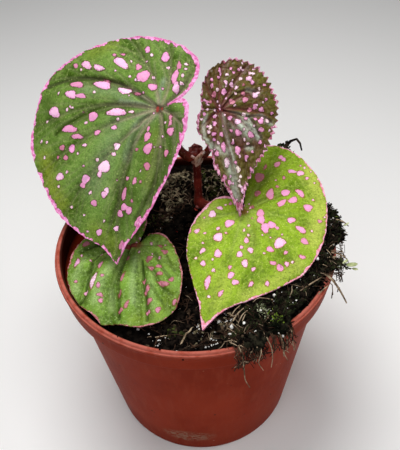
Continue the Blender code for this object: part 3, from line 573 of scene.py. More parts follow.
leafC = {
    "node": "leaf_c",
    "petiole": (21.3, 7, 109),
    "tip": (1.4, -47.4, 100),
    "facing": (-0.12, -0.32, 0.94),
    "curl": (0.0008, 0.0005, 0.002, 0.0015),
    "puff": 0.035,
    "left": [
        (-3.4, -1.1), (-5.4, -4.2), (-6.2, -8.8), (-3.9, -13.6), (2, -16.9), (9, -19), (16.2, -19.2),
        (25, -17.4), (33, -13.7), (41, -9), (48, -4.8), (53.4, -2.5), (58.2, -0.2),
    ],
    "right": [
        (58.2, -0.2), (54.6, 1.7), (50, 4.3), (45, 8.8), (40.4, 15.2), (35, 21.5), (29, 27.8), (23.2, 31.9),
        (14.4, 34.9), (6.2, 35.9), (-3.9, 35.3), (-14.2, 33.1), (-22.3, 29.9), (-29.2, 25), (-35.8, 18.2),
        (-40.2, 11), (-41.3, 4.2), (-39.4, -1.8), (-34.5, -5.6),
    ],
    "veins": [
        ((5, -9), (9, -19)), ((16, -8), (29, -15.7)), ((24, 0.8), (58.2, -0.2)), ((18, 9), (42.6, 12)),
        ((10, 14), (25, 30.8)), ((-1, 16), (1, 35.7)), ((-12, 12), (-25.8, 27.6)), ((-17, 3), (-40.8, 7.6)),
    ],
    "grain": 0.66,
    "rings": 72,
    "teeth": (0, 9),
    "ragged": 0.25,
    "quilt": (0.12, 2.6),
    "groove": 0.22,
    "creases": [([(1, 1), (8, 7), (16, 9)], 1, 0.3), ([(-1, 1), (-9, 8), (-14, 16)], 1, 0.4)],
    "domes": [(-18, 14, 7, 0.6), (2, 22, 7, 0.5), (22, 14, 7, 0.4), (12, -8, 5, 0.4)],
    "sprinkle": 20,
    "rim": (0.2, 0.45, 0.45),
    "notch": 0.8,
    "rimPatches": [
        (57, 0, 3, 1.8), (50, 4.6, 4, 0.8), (40, 15.6, 3, 0.6), (48, -4.6, 3, 0.7), (2, -17, 4, 1),
        (-5, -9, 4, 1), (-3.6, -2, 3, 0.9), (-22, 30, 5, 0.5), (12, 35.2, 5, 0.9), (22, 32.4, 4, 0.7),
        (9, -19, 3, 0.7), (-38, 14, 4, 0.4), (-40, 4, 5, 0.3), (30, 26.8, 3, 0.6),
    ],
    "spots": [
        (-34.8, 8.2, 2, 2.6), (-33.6, 9.8, 1.8, 2.8), (-29.9, 7.7, 2.6, 3.6, 0.5), (-27, 2.9, 1.4, 3, 0.1),
        (-27, 15.1, 3.6, 2.4, 0.75), (-27.1, 18.9, 3, 3.2, 0.85), (-25.1, 22.3, 1.6, 1.6, 0.8),
        (-22.1, 12.6, 1.4, 2, 0.4), (-20.3, 1.9, 3.6, 6, 0.15), (-16.3, 11, 1.4, 1.4, 0.3),
        (-14.1, 15.2, 3.8, 3.4, 0.65), (-15.6, 21.3, 5, 2.6, 0.65, 35), (-11.8, 9, 3, 5.4, 0.55),
        (-10.8, 19.2, 2.8, 4.6, 0.6, 32), (-8, 15, 2.8, 4.4, 0.6, 30), (-8.6, 26.2, 4, 3.4, 0.7),
        (-13.4, 27.4, 1.2, 1.2, 0.9), (-10.9, 3.5, 3, 3, 0.1), (-3.1, 3.2, 1.8, 1.8, 0.05),
        (-0.6, 7.4, 2.8, 4.2, 0.6), (2.8, 8.6, 3, 4.6, 0.6), (4.6, 13.6, 3.2, 3.6, 0.7),
        (6.6, 11.4, 3.2, 5, 0.7), (0, 21, 3.2, 3.4, 0.75), (3.7, 25.9, 4.4, 2.8, 0.75, 30),
        (-3.2, 32.4, 1.8, 1.8, 0.5), (2.9, 30.3, 1, 1, 1), (9, 28.5, 3.4, 2.6, 0.6),
        (5.6, 16.3, 1.6, 1.6, 0.6), (8.4, 19, 0.8, 0.8, 1), (12.6, 18.8, 3.8, 5.6, 0.95),
        (16.9, 16, 2.8, 2.8, 0.7), (16.3, 22.3, 1.4, 1.8, 0.7), (16.6, 29.3, 2.6, 1.8, 0.6),
        (21.6, 24.1, 1.8, 2.4, 0.8), (23, 18.7, 2.6, 1.8, 0.6), (24.3, 21.9, 3, 3, 0.65),
        (7.9, -3.8, 3.6, 4.2, 0.75), (4.6, -12.4, 3.2, 3.2, 1), (0.9, -10.1, 2.4, 1.8, 0.9),
        (-2.4, -6.2, 1.6, 1.6, 0.4), (16, -6.4, 3.4, 4.8, 0.95), (11.9, -7.6, 1.4, 2.2, 0.9),
        (13.4, -3.7, 1.6, 1, 0.9), (14.8, -16.1, 2.4, 2.4, 0.9), (14.9, 5.5, 2, 2.8, 0.8),
        (19.1, 8.3, 2.6, 2.6, 0.95), (18.7, 4.4, 1.6, 1.6, 0.8), (22.3, 4.6, 2.6, 2.6, 0.9),
        (25.8, 7.8, 2.4, 3.6, 1), (27.6, 11.8, 1.8, 1.8, 0.8), (24.1, -4.1, 3, 4, 0.8),
        (23.7, -10.8, 2, 3, 0.9), (20.1, -11.8, 1, 1, 1), (29.9, -8.7, 2.4, 2.4, 0.8),
        (29.1, 2.4, 1.4, 2, 0.7), (32.6, 3.8, 2.8, 3, 0.8), (35.3, 6.4, 2.6, 2.6, 0.8),
        (32.1, -3.5, 1.4, 1.8, 0.9), (37.9, -4.3, 2.2, 6, 0.8), (34.3, 12.6, 1.6, 2.8, 0.8),
        (32.6, 18.7, 1.6, 2.4, 0.8), (41.5, 2.1, 1.8, 2.8, 0.8),
    ],
    "specks": [(10, 3.2), (12, 5.6), (7, 4.4), (20, 26), (-31, 20), (44, -2), (28, -12.4)],
    "silverAndHighlight": [([(6, 3), (20, 6)], 4, 0.3), ([(0, -12), (8, -14)], 2, 0.35)],
    "darkAndShade": [
        ([(0, 0), (-8, 2), (-16, 3)], 3.2, 0.8), ([(-26, 1), (-14, 8), (-3, 5)], 3.2, 0.45),
        ([(0, 0), (-4, 12), (-8, 24)], 2.2, 0.25), ([(-14, -2), (-24, -1)], 2.6, 0.6),
        ([(-33, 6), (-24, 8)], 3, 0.3),
    ],
    "goldAndLight": [
        ([(-30, 22), (-18, 29), (-6, 32), (8, 32)], 4, 0.8), ([(20, 29), (32, 21), (40, 12)], 3, 0.6),
        ([(0, -14), (14, -16)], 3, 0.5), ([(46, 2), (36, 2)], 4, 0.4),
    ],
}

leafD = {
    "node": "leaf_d",
    "petiole": (-24.4, -0.8, 99.5),
    "tip": (-37.7, -37.9, 93.5),
    "facing": (-0.12, -0.20, 0.97),
    "curl": (0.002, 0.002, 0.003, 0.003),
    "puff": 0.15,
    "left": [
        (-8.6, 0.2), (-13.4, -0.6), (-16.3, -3.4), (-16, -8.8), (-12.7, -14.8), (-6.4, -21.2), (0.2, -25),
        (9.3, -27.6), (16.6, -26.6), (22.6, -23.9), (28.4, -19.4), (33, -13.6), (36, -7), (39.4, -1.4),
    ],
    "right": [
        (39.4, -1.4), (37.6, 3.8), (37, 10.6), (35, 17.2), (31.4, 22.2), (26.6, 24.9), (20.6, 25.4),
        (12.5, 24.2), (6.6, 21.9), (0.2, 17.6), (-4.9, 13.2), (-7.7, 8.2), (-6.6, 2.8),
    ],
    "veins": [
        ((-8, -5), (-15.8, -9.6)), ((-2, -11), (-3, -23.3)), ((7, -13), (14, -27.2)),
        ((14, -14.8), (31.4, -15.6)), ((14, -4), (38, 2.6)), ((15, 6.6), (36.2, 13.6)),
        ((11, 10.6), (25, 25.1)), ((4, 10), (8, 22.5)), ((-2, 7), (-4.9, 13.2)),
    ],
    "grain": 0.5,
    "rings": 64,
    "teeth": (0, 9),
    "ragged": 0.3,
    "quilt": (0.2, 2.4),
    "groove": 0.3,
    "creases": [
        ([(1, -3.2), (12, -3), (20, -1.5), (28, 2), (35, 4.5)], 0.6, 1.5),
        ([(5, -13), (12, -16), (20, -15), (29, -13), (32, -14)], 0.55, 1.3),
        ([(8, 5), (18, 9.5), (26, 13.5), (33, 16)], 0.55, 1.2), ([(3, 9), (9, 14), (14, 20)], 0.6, 0.7),
        ([(10, 8), (12, 12), (17, 16), (20, 22)], 0.55, 0.6), ([(18, 12), (22, 17), (27, 22)], 0.5, 0.5),
        ([(-2, 10), (4, 15), (9, 19.5)], 0.6, 0.5), ([(0, -6), (4, -18), (8, -24)], 0.8, 0.8),
    ],
    "domes": [
        (20, -9, 5, 1.4), (20, 4.5, 4.6, 1.2), (15, -21, 4.6, 1), (16, 14, 4.6, 0.8), (28, 9, 4, 0.6),
        (24, 20, 4, 0.5), (8, 2, 3.6, 0.6),
    ],
    "sprinkle": 14,
    "rim": (0.15, 0.4, 0.35),
    "notch": 0.9,
    "rimPatches": [
        (12, -27, 5, 0.7), (36, -5, 3, 0.6), (35, 17, 3, 0.5), (10, 23.6, 5, 0.7), (0, -25, 4, 0.5),
        (-7, 8, 3, 0.5),
    ],
    "spots": [
        (4, -23, 3, 3, 0.2), (14, -23, 2.6, 5, 0.75, -20), (13.4, -12.2, 2, 3.4, 0.55),
        (21.8, -11.8, 2, 7.5, 1.1), (19, -8.5, 1.4, 1.4, 0.5), (23.6, -8.7, 2, 2, 0.6),
        (27.2, -6.6, 2.4, 1.8, 0.5), (29.5, -5.5, 2, 2, 0.5), (23, -19.7, 1.4, 1.4, 0.5),
        (27, -13.3, 1.8, 2, 0.9), (17.2, -0.5, 1.4, 4, 0.3), (7.6, -1.8, 2, 2, 0.1),
        (6.1, 7.4, 2.6, 2.6, 0.2), (1.3, 12.8, 2.6, 2, 0.15), (-1.4, 9.7, 2.4, 1.4, 0.15),
        (9.9, 9.7, 2.6, 1.4, 0.25), (8.8, 12.8, 2, 2, 0.3), (12.2, 14.3, 2.6, 1.8, 0.3),
        (16.1, 17.2, 4.6, 2, 0.25), (13.6, 19.9, 2, 2, 0.3), (17.2, 9.3, 1.6, 1.6, 0.3),
        (20.7, 11.8, 2, 3.4, 0.35), (25.1, 14.3, 2.4, 2.4, 0.3), (28, 19, 2.2, 2.2, 0.4),
        (29.7, 15.3, 1.6, 2, 0.4), (28.8, 5.7, 1.6, 3.4, 0.3), (31.5, 4, 2, 2, 0.35),
        (24.7, 1.1, 1.2, 3, 0.3), (22.6, 24, 1.4, 3, 0.4),
    ],
    "specks": [],
    "silverAndHighlight": [
        ([(12, -20.5), (20, -21), (27, -18.5)], 1.6, 0.45), ([(11, -7), (20, -8.5), (30, -8)], 2, 0.5),
        ([(7, 1.5), (16, 3.5), (27, 8)], 1.5, 0.45), ([(12, 11), (22, 14), (28, 18)], 1.3, 0.25),
        ([(24, -3), (32, 0)], 1.2, 0.35),
    ],
    "darkAndShade": [
        ([(0, 0), (8, 1)], 3.6, 0.6), ([(-10, -4), (-3, -20)], 5, 0.6), ([(0, -10), (7, -22)], 3.2, 0.6),
        ([(13, -4.2), (24, -2.6), (34, 2.4)], 1.3, 0.7), ([(10, -13.5), (22, -13), (31, -11.5)], 1.3, 0.6),
        ([(10, 7.4), (20, 11.6), (32, 17.6)], 1, 0.6),
    ],
    "goldAndLight": [([(20, 22), (30, 20), (34, 10)], 3, 0.4), ([(-4, 10), (6, 18)], 3, 0.3)],
}


def smoothCurve(points, steps=10):
    points = np.array(points, float)
    padded = np.vstack([2 * points[0] - points[1], points, 2 * points[-1] - points[-2]])
    made = []
    for a, b, c, d in zip(padded, padded[1:], padded[2:], padded[3:]):
        for t in np.arange(steps) / steps:
            bend = (2 * a - 5 * b + 4 * c - d) * t**2 + (3 * b - a - 3 * c + d) * t**3
            made.append(0.5 * (2 * b + (c - a) * t + bend))
    made.append(points[-1])
    return np.array(made)


def readLeaf(leaf):
    # the leaf as a fan: a share of the way round its margin and a share of the way out from its petiole
    root = Vector(leaf["petiole"])
    along = (Vector(leaf["tip"]) - root).normalized()
    facing = Vector(leaf["facing"])
    normal = (facing - facing.dot(along) * along).normalized()
    left, right = smoothCurve(leaf["left"]), smoothCurve(leaf["right"])
    margin = np.vstack([left, right[1:]])
    lengths = np.linalg.norm(np.diff(margin, axis=0), axis=1)
    shares = np.concatenate([[0.0], np.cumsum(lengths)]) / lengths.sum()
    angles = np.unwrap(np.arctan2(margin[:, 1], margin[:, 0]))
    fan = {
        "root": root, "along": along, "normal": normal, "across": normal.cross(along),
        "margin": margin, "shares": shares, "length": lengths.sum(), "angles": angles,
    }
    read = []
    for through, end in leaf["veins"]:
        share = float(shares[np.argmin(np.linalg.norm(margin - np.array(end), axis=1))])
        angle = math.atan2(through[1], through[0])
        while angle < angles[0]:
            angle += 2 * math.pi
        crossing = float(np.interp(angle, angles, shares))
        out = math.hypot(*through) / np.linalg.norm(edgeOf(fan, crossing))
        read.append((share, (crossing - share) / (1 - out)))
    read.sort()
    fan["stops"] = [0.0] + [share for share, turn in read] + [1.0]
    fan["turns"] = [0.0] + [turn for share, turn in read] + [0.0]
    return fan


def edgeOf(fan, share):
    margin, shares = fan["margin"], fan["shares"]
    return np.stack([np.interp(share, shares, margin[:, 0]), np.interp(share, shares, margin[:, 1])], axis=-1)


def inPlane(fan, share, out):
    turned = share + np.interp(share, fan["stops"], fan["turns"]) * (1 - out)
    return edgeOf(fan, turned) * np.asarray(out)[..., None]


def gapOf(fan, share):
    # the veins on both sides of each point, and its place between them
    stops = np.array(fan["stops"])
    gap = np.clip(np.searchsorted(stops, share), 1, len(stops) - 1)
    low, high = stops[gap - 1], stops[gap]
    return low, high, (share - low) / (high - low)


def leafHeight(leaf, fan, share, out, flat):
    low, high, place = gapOf(fan, share)
    width = np.minimum((high - low) * fan["length"] * out, 17.0)
    swell = 4 * place * (1 - place)
    toTip, toBase, toLeft, toRight = leaf["curl"]
    u, v = flat[..., 0], flat[..., 1]
    droop = np.where(u > 0, toTip, toBase) * u**2 + np.where(v > 0, toRight, toLeft) * v**2
    return leaf["puff"] * width * swell * (1 - 0.55 * out**2) - droop, swell


def fromLine(points, flat):
    # distance of every point from a line of straight pieces
    points = np.asarray(points, float)
    nearest = np.full(len(flat), 1e9)
    for start, end in zip(points, points[1:]):
        step = end - start
        reach = np.clip((flat - start) @ step / max(step @ step, 1e-9), 0, 1)
        nearest = np.minimum(nearest, np.linalg.norm(flat - start - reach[:, None] * step, axis=1))
    return nearest


def strokes(lines, flat):
    tint = np.zeros(len(flat))
    for points, width, strength in lines:
        tint = np.maximum(tint, strength * np.exp(-((fromLine(points, flat) / width) ** 2)))
    return tint


def branchLines(fan, dice):
    # finer veins that fork from the main ones towards the margin, in both halves of every gap
    lines = []
    stops = fan["stops"]
    for low, high in zip(stops, stops[1:]):
        width = (high - low) * fan["length"]
        count = 2 + int(width > 12) + int(width > 24)
        for side in (0, 1):
            if (low == 0.0 and side == 0) or (high == 1.0 and side == 1):
                continue
            for i in range(count):
                start = 0.2 + 0.6 * (i + dice.uniform(0.1, 0.7)) / count
                end = min(0.985, start + dice.uniform(0.36, 0.5))
                lean = (0.48 - 0.1 * i / count) * dice.uniform(0.8, 1.0)
                t = np.linspace(0, 1, 9)
                drift = lean * (end - start) / 0.45 * t**0.85
                drift = np.minimum(drift, 0.49)
                share = low + (high - low) * (drift if side == 0 else 1 - drift)
                lines.append(inPlane(fan, share, start + (end - start) * t))
    return lines


def spotFields(leaf, flat, dice):
    # how far inside the nearest spot each point is, in millimetres, and that spot's tone
    field = np.full(len(flat), -9.0)
    tone = np.full(len(flat), 0.7)
    marks = [(*spot, *(0.65, 0.0)[len(spot) - 4:]) for spot in leaf["spots"]]
    for u, v in leaf["specks"]:
        marks.append((u, v, dice.uniform(1.1, 1.6), dice.uniform(1.1, 1.6), 1.2, 0.0))
    for i in range(leaf["sprinkle"]):
        u, v = flat[dice.randrange(len(flat))] * 0.97
        size = dice.uniform(0.8, 1.2)
        marks.append((u, v, size, size, dice.uniform(0.8, 1.2), 0.0))
    for u, v, acrossSize, alongSize, shade, tilt in marks:
        shift = flat - np.array((u, v))
        turn = math.radians(tilt)
        side = shift[:, 1] * math.cos(turn) + shift[:, 0] * math.sin(turn)
        length = shift[:, 0] * math.cos(turn) - shift[:, 1] * math.sin(turn)
        halfSide, halfLength = acrossSize / 2, alongSize / 2
        angle = np.arctan2(length / halfLength, side / halfSide)
        first, second = dice.uniform(0, 6.3), dice.uniform(0, 6.3)
        lobes = 1 + 0.1 * np.sin(2 * angle + first) + 0.1 * np.sin(3 * angle + second)
        reach = np.hypot(side / halfSide, length / halfLength) / lobes
        inside = (1 - reach) * min(halfSide, halfLength)
        nearer = inside > field
        field = np.where(nearer, inside, field)
        tone = np.where(nearer, shade + dice.uniform(-0.06, 0.06), tone)
    return field, tone


def rimField(leaf, fan, flat, share):
    # how far inside the pink edge each point is: its width wanders, and swells at the patches
    margin = fan["margin"]
    edge = fromLine(np.vstack([margin[:1] * leaf["notch"], margin, margin[-1:] * leaf["notch"]]), flat)
    narrow, wander, beads = leaf["rim"]
    along = share * fan["length"]
    width = narrow + wander * np.array([noise.noise(Vector((part / 3.1, 0.0, 4.4))) for part in along])
    width += beads * np.array([noise.noise(Vector((part / 1.1, 6.0, 1.4))) for part in along])
    for u, v, radius, extra in leaf["rimPatches"]:
        near = np.linalg.norm(flat - np.array((u, v)), axis=1)
        width += extra * np.exp(-((near / radius) ** 2))
    return width - edge, edge


relief = {
    "mainWidth": 0.95,
    "fineWidth": 0.55,
    "fineShare": 0.45,  # depth of a finer vein against a main one
    "edgeRise": 0.18,
    "edgeWidth": 0.5,
    "spotRise": 0.14,
}


def fanGrid(leaf, fan):
    # a grid over the fan, with the share of the way round and of the way out for each of its points
    shares = [0.0]
    for low, high in zip(fan["stops"], fan["stops"][1:]):
        count = max(4, round((high - low) * fan["length"] / leaf["grain"]))
        shares += [mix(low, high, (i + 1) / count) for i in range(count)]
    columns, rings = len(shares) - 1, leaf["rings"]
    mesh = bmesh.new()
    source = mesh.verts.layers.int.new("source")
    bmesh.ops.create_grid(mesh, x_segments=columns, y_segments=rings, size=0.5)
    for i, vert in enumerate(mesh.verts):
        vert[source] = i
    grid = np.array([vert.co[:2] for vert in mesh.verts]) + 0.5
    share = np.array(shares)[np.rint(grid[:, 0] * columns).astype(int)]
    out = 1 - np.rint(grid[:, 1] * rings) / rings
    return mesh, share, 0.65 * out + 0.35 * out * (2 - out)


def edgePush(leaf, fan, flat, share, out):
    # how far the teeth or a slight raggedness move each point outwards, as a share of its radius
    depth, pitch = leaf["teeth"]
    beat = share * fan["length"] / pitch
    tooth = np.abs((beat % 1.0) * 2 - 1) ** 1.3
    sizes = np.array([noise.noise(Vector((part * 1.7, 3.3, 0))) for part in np.floor(beat)])
    ragged = np.array([noise.noise(Vector((part * fan["length"] / 2.2, 7.7, 0))) for part in share])
    radius = np.linalg.norm(flat, axis=1) + 1e-6
    push = depth * (tooth - 0.5) * (1 + sizes) + leaf["ragged"] * ragged / radius
    return push * ease(0.86, 1.0, out)


def veinFields(fan, flat, out, edge, dice):
    # how much each point belongs to a main vein and to a finer one
    main, fine = np.zeros(len(flat)), np.zeros(len(flat))
    width = relief["mainWidth"] - 0.45 * out
    for stop in fan["stops"][1:-1]:
        line = inPlane(fan, np.full(24, stop), np.linspace(0, 1, 24))
        main = np.maximum(main, np.exp(-((fromLine(line, flat) / width) ** 2)) * (1 - 0.45 * out))
    for line in branchLines(fan, dice):
        fine = np.maximum(fine, np.exp(-((fromLine(line, flat) / relief["fineWidth"]) ** 2)))
    return main, fine * (ease(0.1, 0.3, out) * ease(0.0, 1.2, edge))


def quiltField(cell, flat):
    # 0 on the borders of small cells, up to 1 inside them
    quilt = []
    for u, v in flat:
        near = noise.voronoi(Vector((u / cell, v / cell, 0.5)))[0]
        quilt.append(min(1.0, (near[1] - near[0]) * 2.6))
    return np.array(quilt)


def buildLeaf(leaf, face, under):
    dice = random.Random(leaf["node"])
    fan = readLeaf(leaf)
    mesh, share, out = fanGrid(leaf, fan)
    flat = inPlane(fan, share, out)
    height, swell = leafHeight(leaf, fan, share, out, flat)
    rim, edge = rimField(leaf, fan, flat, share)
    field, tone = spotFields(leaf, flat, dice)
    main, fine = veinFields(fan, flat, out, edge, dice)
    puffed, cell = leaf["quilt"]
    quilt = quiltField(cell, flat)

    # sunken veins with a quilted surface between them, raised spots and edge, creases and domes
    height += puffed * (quilt - 0.5) * ease(0.0, 0.25, out) * (1 - main)
    height -= leaf["groove"] * main * ease(0.0, 0.12, out) + relief["fineShare"] * leaf["groove"] * fine
    height += relief["edgeRise"] * np.exp(-((edge / relief["edgeWidth"]) ** 2))
    height += relief["spotRise"] * ease(-0.3, 0.4, field)
    for line, width, depth in leaf["creases"]:
        height -= depth * np.exp(-((fromLine(line, flat) / width) ** 2))
    for u, v, radius, rise in leaf["domes"]:
        height += rise * np.exp(-((np.linalg.norm(flat - np.array((u, v)), axis=1) / radius) ** 2))

    moved = flat * (1 + edgePush(leaf, fan, flat, share, out))[:, None]
    root, along, across, normal = (np.array(fan[key]) for key in ("root", "along", "across", "normal"))
    spots = root + moved[:, :1] * along + moved[:, 1:] * across + height[:, None] * normal
    for vert, spot in zip(mesh.verts, spots):
        vert.co = spot
    bmesh.ops.remove_doubles(mesh, verts=mesh.verts, dist=0.001)
    piece = makePiece(leaf["node"] + "_blade", mesh, [face, under], [leaf["node"]])

    order = np.empty(len(piece.data.vertices), np.int32)
    piece.data.attributes["source"].data.foreach_get("value", order)
    piece.data.attributes.remove(piece.data.attributes["source"])
    # the creases, widened, for painted shade along the folds
    creases = [(line, 1.3 * width, min(1.0, depth + 0.1)) for line, width, depth in leaf["creases"]]
    # the swell field makes the bulges lighter and the hollows darker in the paint: painted light and shade
    fields = {
        "spot": field, "tone": tone, "rim": rim, "swell": swell * (1 - 0.4 * out), "quilt": quilt,
        "vein": np.maximum(main, 0.5 * fine), "fromRoot": np.linalg.norm(flat, axis=1),
        "silverAndHighlight": strokes(leaf["silverAndHighlight"], flat), "darkAndShade": strokes(leaf["darkAndShade"], flat),
        "goldAndLight": strokes(leaf["goldAndLight"], flat), "creaseShade": strokes(creases, flat),
    }
    for name, values in fields.items():
        layer = piece.data.attributes.new(name, "FLOAT", "POINT")
        layer.data.foreach_set("value", values[order].astype(np.float32))
    group = piece.vertex_groups.new(name="thickness")
    for i, value in enumerate(0.5 + 0.5 * main[order]):
        group.add([i], float(value), "REPLACE")
    wall = piece.modifiers.new("thickness", "SOLIDIFY")
    wall.thickness = bladeWall * mm
    wall.offset = -1.0
    wall.vertex_group = "thickness"
    wall.material_offset = 1
    bakeModifiers(piece)


leafLooks = {
    "leaf_a": {
        "low": srgb(66, 94, 22), "high": srgb(116, 150, 66), "vein": srgb(164, 154, 126),
        "silverAndHighlight": srgb(142, 158, 132), "darkAndShade": srgb(44, 62, 8), "goldAndLight": srgb(140, 154, 50),
        "fleck": srgb(168, 184, 108), "rim": srgb(248, 172, 222), "rimDeep": srgb(214, 108, 168),
        "halo": srgb(78, 44, 36), "under": srgb(140, 84, 74), "underVein": srgb(120, 44, 46),
        "roughness": (0.45, 0.62), "coat": 0.0, "gloss": 0.06,
    },
    "leaf_b": {
        "low": srgb(70, 38, 16), "high": srgb(104, 98, 36), "vein": srgb(122, 66, 62),
        "silverAndHighlight": srgb(204, 216, 198), "darkAndShade": srgb(56, 20, 12), "goldAndLight": srgb(100, 110, 32),
        "fleck": srgb(128, 102, 66), "rim": srgb(236, 178, 208), "rimDeep": srgb(160, 78, 104),
        "halo": srgb(76, 24, 30), "under": srgb(124, 54, 50), "underVein": srgb(104, 30, 34),
        "roughness": (0.22, 0.38), "coat": 0.1, "gloss": 0.15,
    },
    "leaf_c": {
        "low": srgb(96, 128, 14), "high": srgb(150, 184, 44), "vein": srgb(170, 194, 84),
        "silverAndHighlight": srgb(176, 198, 100), "darkAndShade": srgb(84, 88, 16), "goldAndLight": srgb(196, 208, 92),
        "fleck": srgb(206, 220, 110), "rim": srgb(250, 192, 218), "rimDeep": srgb(222, 132, 152),
        "halo": srgb(136, 84, 40), "under": srgb(150, 140, 76), "underVein": srgb(150, 78, 60),
        "roughness": (0.45, 0.6), "coat": 0.0, "gloss": 0.06,
    },
    "leaf_d": {
        "low": srgb(72, 102, 20), "high": srgb(128, 168, 62), "vein": srgb(156, 184, 96),
        "silverAndHighlight": srgb(182, 208, 142), "darkAndShade": srgb(42, 62, 8), "goldAndLight": srgb(140, 162, 46),
        "fleck": srgb(186, 212, 136), "rim": srgb(216, 150, 160), "rimDeep": srgb(160, 84, 80),
        "halo": srgb(116, 74, 44), "under": srgb(140, 98, 72), "underVein": srgb(132, 52, 48),
        "roughness": (0.4, 0.55), "coat": 0.0, "gloss": 0.1,
    },
}


def grey(part):
    return (part, part, part, 1.0)


def paintFace(name, look):
    material, tree, shader = newMaterial(name + "_face")
    where = places(tree)
    broad = cloud(tree, where, 9.0)
    fine = cloud(tree, where, 1.3, detail=4.0, rough=0.65)
    grain = cloud(tree, where, 0.5, rough=0.7)
    # the bulges between veins painted lighter and the hollows darker: painted light and shade, with a broad
    # random tone
    patch = maths(tree, "ADD", times(tree, reading(tree, "swell"), 0.5), broad)
    colour = blend(tree, between(tree, patch, 0.42, 1.0), look["low"], look["high"])
    colour = blend(tree, times(tree, between(tree, fine, 0.4, 0.75), 0.4), colour, look["high"])
    net = between(tree, reading(tree, "quilt"), 0.0, 0.35, 1.0, 0.0)
    colour = blend(tree, times(tree, net, 0.3), colour, look["fleck"])
    # the gold, dark and silver strokes: tints of the leaf, with painted light, painted shade and painted
    # highlights
    for key in ("goldAndLight", "darkAndShade", "silverAndHighlight"):
        amount = times(tree, reading(tree, key), between(tree, broad, 0.2, 0.6, 0.7, 1.0))
        amount = times(tree, amount, between(tree, fine, 0.3, 0.6, 0.75, 1.0))
        colour = blend(tree, amount, colour, look[key])
    nearRoot = between(tree, reading(tree, "fromRoot"), 4.0, 30.0, 0.8, 0.3)
    # the creases painted darker: painted shade in the folds
    colour = blend(tree, times(tree, reading(tree, "creaseShade"), 0.85), colour, look["darkAndShade"])
    colour = blend(tree, times(tree, reading(tree, "vein"), nearRoot), colour, look["vein"])
    blush = between(tree, reading(tree, "fromRoot"), 0.8, 3.2, 0.85, 0.0)
    colour = blend(tree, blush, colour, look["halo"])
    speckle = ramp(tree, grain, [(0.34, grey(0.6)), (0.48, grey(0.92)), (0.6, grey(1.0))])
    colour = blend(tree, 1.0, colour, speckle, "MULTIPLY")
    mottle = ramp(tree, fine, [(0.36, grey(0.74)), (0.5, grey(1.0))])
    colour = blend(tree, 1.0, colour, mottle, "MULTIPLY")
    freckles = between(tree, cells(tree, where, 1.3), 0.1, 0.26, 0.6, 0.0)
    freckles = times(tree, freckles, between(tree, fine, 0.42, 0.52))
    colour = blend(tree, freckles, colour, look["fleck"])

    # spots: a dull ring, then pink that pales inwards
    ragged = maths(tree, "SUBTRACT", cloud(tree, where, 0.8), 0.5)
    depth = maths(tree, "ADD", reading(tree, "spot"), ragged)
    colour = blend(tree, between(tree, depth, -0.38, -0.05, 0.0, 0.75), colour, look["halo"])
    tones = [
        (0.0, srgb(150, 88, 88)), (0.25, srgb(206, 132, 154)), (0.46, srgb(240, 168, 216)),
        (0.7, srgb(252, 216, 240)), (1.0, srgb(252, 244, 228)),
    ]
    toned = ramp(tree, times(tree, reading(tree, "tone"), 0.66), tones)
    edging = blend(tree, between(tree, fine, 0.4, 0.62), look["rimDeep"], look["rim"])
    mottled = blend(tree, between(tree, grain, 0.34, 0.56), look["rimDeep"], toned)
    mottled = blend(tree, between(tree, depth, 0.15, 1.0, 0.0, 0.85), mottled, toned)
    colour = blend(tree, between(tree, depth, -0.05, 0.14), colour, mottled)

    # the pink edge, ragged inwards and with darker flecks
    depth = maths(tree, "ADD", reading(tree, "rim"), times(tree, ragged, 1.5))
    colour = blend(tree, between(tree, depth, -0.35, 0.0, 0.0, 0.55), colour, look["halo"])
    colour = blend(tree, between(tree, depth, 0.0, 0.22), colour, edging)
    tree.links.new(colour, shader.inputs["Base Color"])

    smooth, rough = look["roughness"]
    tree.links.new(between(tree, fine, 0.3, 0.7, smooth, rough), shader.inputs["Roughness"])
    setSockets(shader, {
        "Coat Weight": look["coat"], "Coat Roughness": 0.2, "Specular IOR Level": look["gloss"],
        "Subsurface Weight": 0.05, "Subsurface Radius": (0.6, 1.0, 0.3), "Subsurface Scale": 0.0008,
    })
    pores = cells(tree, where, 0.8)
    bump(tree, shader, maths(tree, "ADD", fine, times(tree, pores, 0.6)), 0.5, 0.2)
    return material


def paintUnder(name, look):
    material, tree, shader = newMaterial(name + "_under")
    where = places(tree)
    broad = cloud(tree, where, 7.0)
    fine = cloud(tree, where, 1.1, 4.0, 0.65)
    colour = blend(tree, between(tree, broad, 0.35, 0.7, 0.1, 0.6), look["under"], look["low"])
    ribs = times(tree, between(tree, reading(tree, "vein"), 0.15, 0.6), 0.85)
    colour = blend(tree, ribs, colour, look["underVein"])
    colour = blend(tree, between(tree, reading(tree, "rim"), -0.3, 0.3, 0.0, 0.8), colour, look["rim"])
    tree.links.new(colour, shader.inputs["Base Color"])
    setSockets(shader, {"Roughness": 0.55, "Specular IOR Level": 0.2})
    bump(tree, shader, fine, 0.4, 0.2)
    return material


for leaf, slot in ((leafA, "blade_a"), (leafB, "blade_b"), (leafC, "blade_c"), (leafD, "blade_d")):
    look = leafLooks[leaf["node"]]
    buildLeaf(leaf, paintFace(leaf["node"], look), paintUnder(leaf["node"], look))
    print(leaf["node"], "has its blade")


# Stem and petioles

stalk = {
    "foot": (2.5, 30.5, 76.0),
    "top": (2.6, 33.0, 124.0),
    "radius": 1.85,
    "nodes": (94.0, 121.5),
    "rings": (101.0, 107.5, 114.5),
    "leaving": 0.75,  # how far off the stem a petiole sets out
    "hairLength": (0.5, 1.1),
    "hairs": 110,
    "scaleWall": 0.25,
    "scales": (  # bearing, height, length, width, reach, and 1 for one of the bud
        (218, 116.6, 7.0, 6.0, 2.8, 0), (-40, 116.2, 8.6, 8.4, 2.8, 0), (95, 114.5, 6.0, 5.0, 3.4, 0),
        (165, 118.5, 6.4, 6.4, 1.6, 1), (105, 118.5, 7.2, 7.0, 1.0, 1), (30, 118.0, 6.0, 6.0, 1.4, 1),
        (-100, 89.5, 5.0, 4.0, 2.0, 1),
    ),
}

